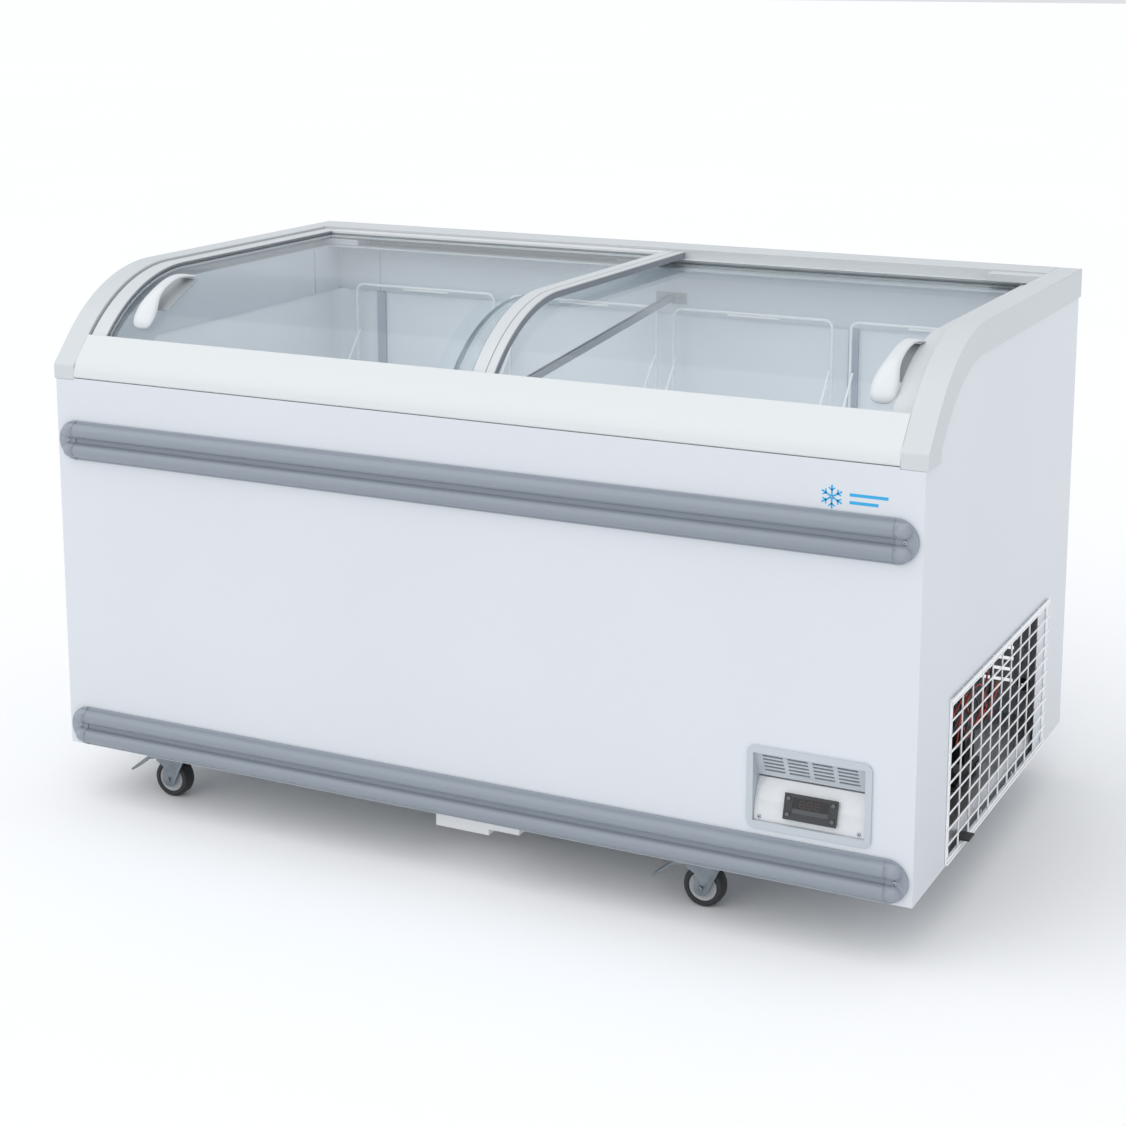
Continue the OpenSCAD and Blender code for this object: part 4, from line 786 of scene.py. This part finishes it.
random.seed(7)
SLEEVE_COLOURS = ((0.45, 0.03, 0.02), (0.03, 0.03, 0.035), (0.50, 0.05, 0.03), (0.03, 0.03, 0.032),
                  (0.40, 0.04, 0.02), (0.05, 0.05, 0.055))
for i, colour in enumerate(SLEEVE_COLOURS):
    sleeve = finish("sleeve_%d" % i, colour, 0.45, tone=0.08, grain=0.1, grain_scale=900.0)
    route = [(0.668, 0.085 - 0.006 * i, 0.165), (0.700, 0.120, 0.180 + 0.004 * i)]
    for k in range(1, 12):
        y = 0.200 - 0.045 * k
        sway = 0.055 if k < 7 else 0.03
        route.append((0.708 + random.uniform(-0.014, 0.014), y, 0.250 + sway * math.sin(k * 1.1 + 0.7 * i)))
    end_x = 0.600 - 0.004 * i
    route += [(0.700, -0.325, 0.240), (0.640, -0.335, 0.215 + 0.003 * i), (end_x, -0.345, 0.195),
              (end_x, -0.3635, 0.197)]
    smooth_cord("wire_%d" % i, route, 0.0030, sleeve)
connection_box = join_parts("connection_box", [box_part((0.635, -0.287, 0.0976), (0.685, -0.227, 0.156))])
round_edges(connection_box, 0.003, 3)
dress(connection_box, panel_dark)
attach(connection_box, "cabinet")
strap = join_parts("strap_end", [box_part((0.7386, -0.195, 0.1142), (0.7638, -0.165, 0.1178))])
round_edges(strap, 0.001, 3)
strap_black = finish("strap_black", (0.02, 0.02, 0.022), 0.5, tone=0.1, grain=0.3, grain_scale=800.0)
dress(strap, strap_black)
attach(strap, "cabinet")
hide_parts("wiring_harness")


# Cable gland: a black nylon bush, snapped into the rear panel low down on the machine side, where a
# mains lead leaves.
rounded_copy("cable_gland", 0.0006, 2, 50, panel_dark)


# Cross bar: a slim grey metal channel that splits the tub in two. It slopes down to the front and
# hangs on a screwed bracket at the back and one in front.
bar_grey = finish("bar_grey", (0.42, 0.44, 0.46), 0.35, metal=0.5, tone=0.05, grain=0.15, grain_scale=500.0)
rounded_copy("cross_bar", 0.0005, 2, 50, bar_grey)


# Wire racks: steel wire, bent, welded and dipped in the same white plastic as the grille. Each one
# stands loose in the tub.
for i in range(1, 5):
    rack = nodes["wire_rack_%d" % i]
    dress(rack, dipped_wire)
    rack.data.shade_smooth()
    rack.data.set_sharp_from_angle(angle=math.radians(45))


# Casters: pressed and zinc-plated steel plates and forks, bolted under the base pan. The wheels have
# grey plastic hubs and black tyres, and the two front ones a brake pedal each.
caster_zinc = finish("caster_zinc", (0.24, 0.27, 0.30), 0.3, metal=0.85, tone=0.16, tone_scale=60.0,
                     grain=0.15, grain_scale=900.0, depth=0.00005, rough_swing=0.12)
rounded_copy("caster_plates", 0.0006, 2, 50, caster_zinc)
hub_grey = finish("hub_grey", (0.42, 0.44, 0.46), 0.4, tone=0.04, grain=0.2, grain_scale=700.0)
tread_black = finish("tread_black", (0.03, 0.03, 0.032), 0.6, tone=0.15, tone_scale=30.0, grain=0.3,
                     grain_scale=700.0)
TRAIL, WHEEL_Z = 0.026, 0.0325
CORNERS = {"front_left": (-0.564, -0.339), "front_right": (0.424, -0.339),
           "rear_left": (-0.564, 0.355), "rear_right": (0.424, 0.355)}
HALF_TREAD = ((0.0225, 0.0115), (0.0245, 0.0135), (0.0275, 0.0139), (0.0305, 0.0125), (0.0322, 0.0085))
HALF_HUB = ((0.0042, 0.0138), (0.0085, 0.0138), (0.0092, 0.0120), (0.0105, 0.0100), (0.0185, 0.0100),
            (0.0205, 0.0112), (0.0224, 0.0114))


def both_sides(half, middle=()):
    """A (radius, y) outline from its +Y half, mirrored to -Y, with any points on the middle between."""
    return [(radius, -y) for radius, y in half] + list(middle) + list(reversed(half))


TREAD = both_sides(HALF_TREAD, [(0.0325, 0.0)])
HUB = both_sides(HALF_HUB)


def turned(name, outline, centre, around=64):
    """A closed ring turned about a line through centre along Y."""
    points, faces, count = [], [], len(outline)
    for k in range(around):
        a = 2 * math.pi * k / around
        for radius, y in outline:
            points.append((centre[0] + radius * math.cos(a), centre[1] + y, centre[2] + radius * math.sin(a)))
    for k in range(around):
        for i in range(count):
            a, b = k * count + i, k * count + (i + 1) % count
            c, d = (k + 1) % around * count + (i + 1) % count, (k + 1) % around * count + i
            faces.append((a, b, c, d))
    made = new_mesh(name, points, faces)
    tidy_faces(made)
    shade(made, 30)
    return made


for corner, (x, y) in CORNERS.items():
    rounded_copy("caster_fork_" + corner, 0.0005, 2, 50, caster_zinc)
    body = "wheel_" + corner
    tyre = turned("tyre_" + corner, TREAD, (x - TRAIL, y, WHEEL_Z))
    hub = turned("hub_" + corner, HUB, (x - TRAIL, y, WHEEL_Z))
    dress(tyre, tread_black)
    dress(hub, hub_grey)
    for made in (tyre, hub):
        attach(made, body)
    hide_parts("caster_wheel_" + corner)
for side in ("left", "right"):
    rounded_copy("brake_pedal_" + side, 0.0005, 2, 50, caster_zinc)


# Drain tray: a basin moulded in white plastic. It hangs on two rails under the base pan and pulls out
# to the front when it has to be emptied.
rounded_copy("drain_tray", 0.0025, 3, 50, white_plastic)
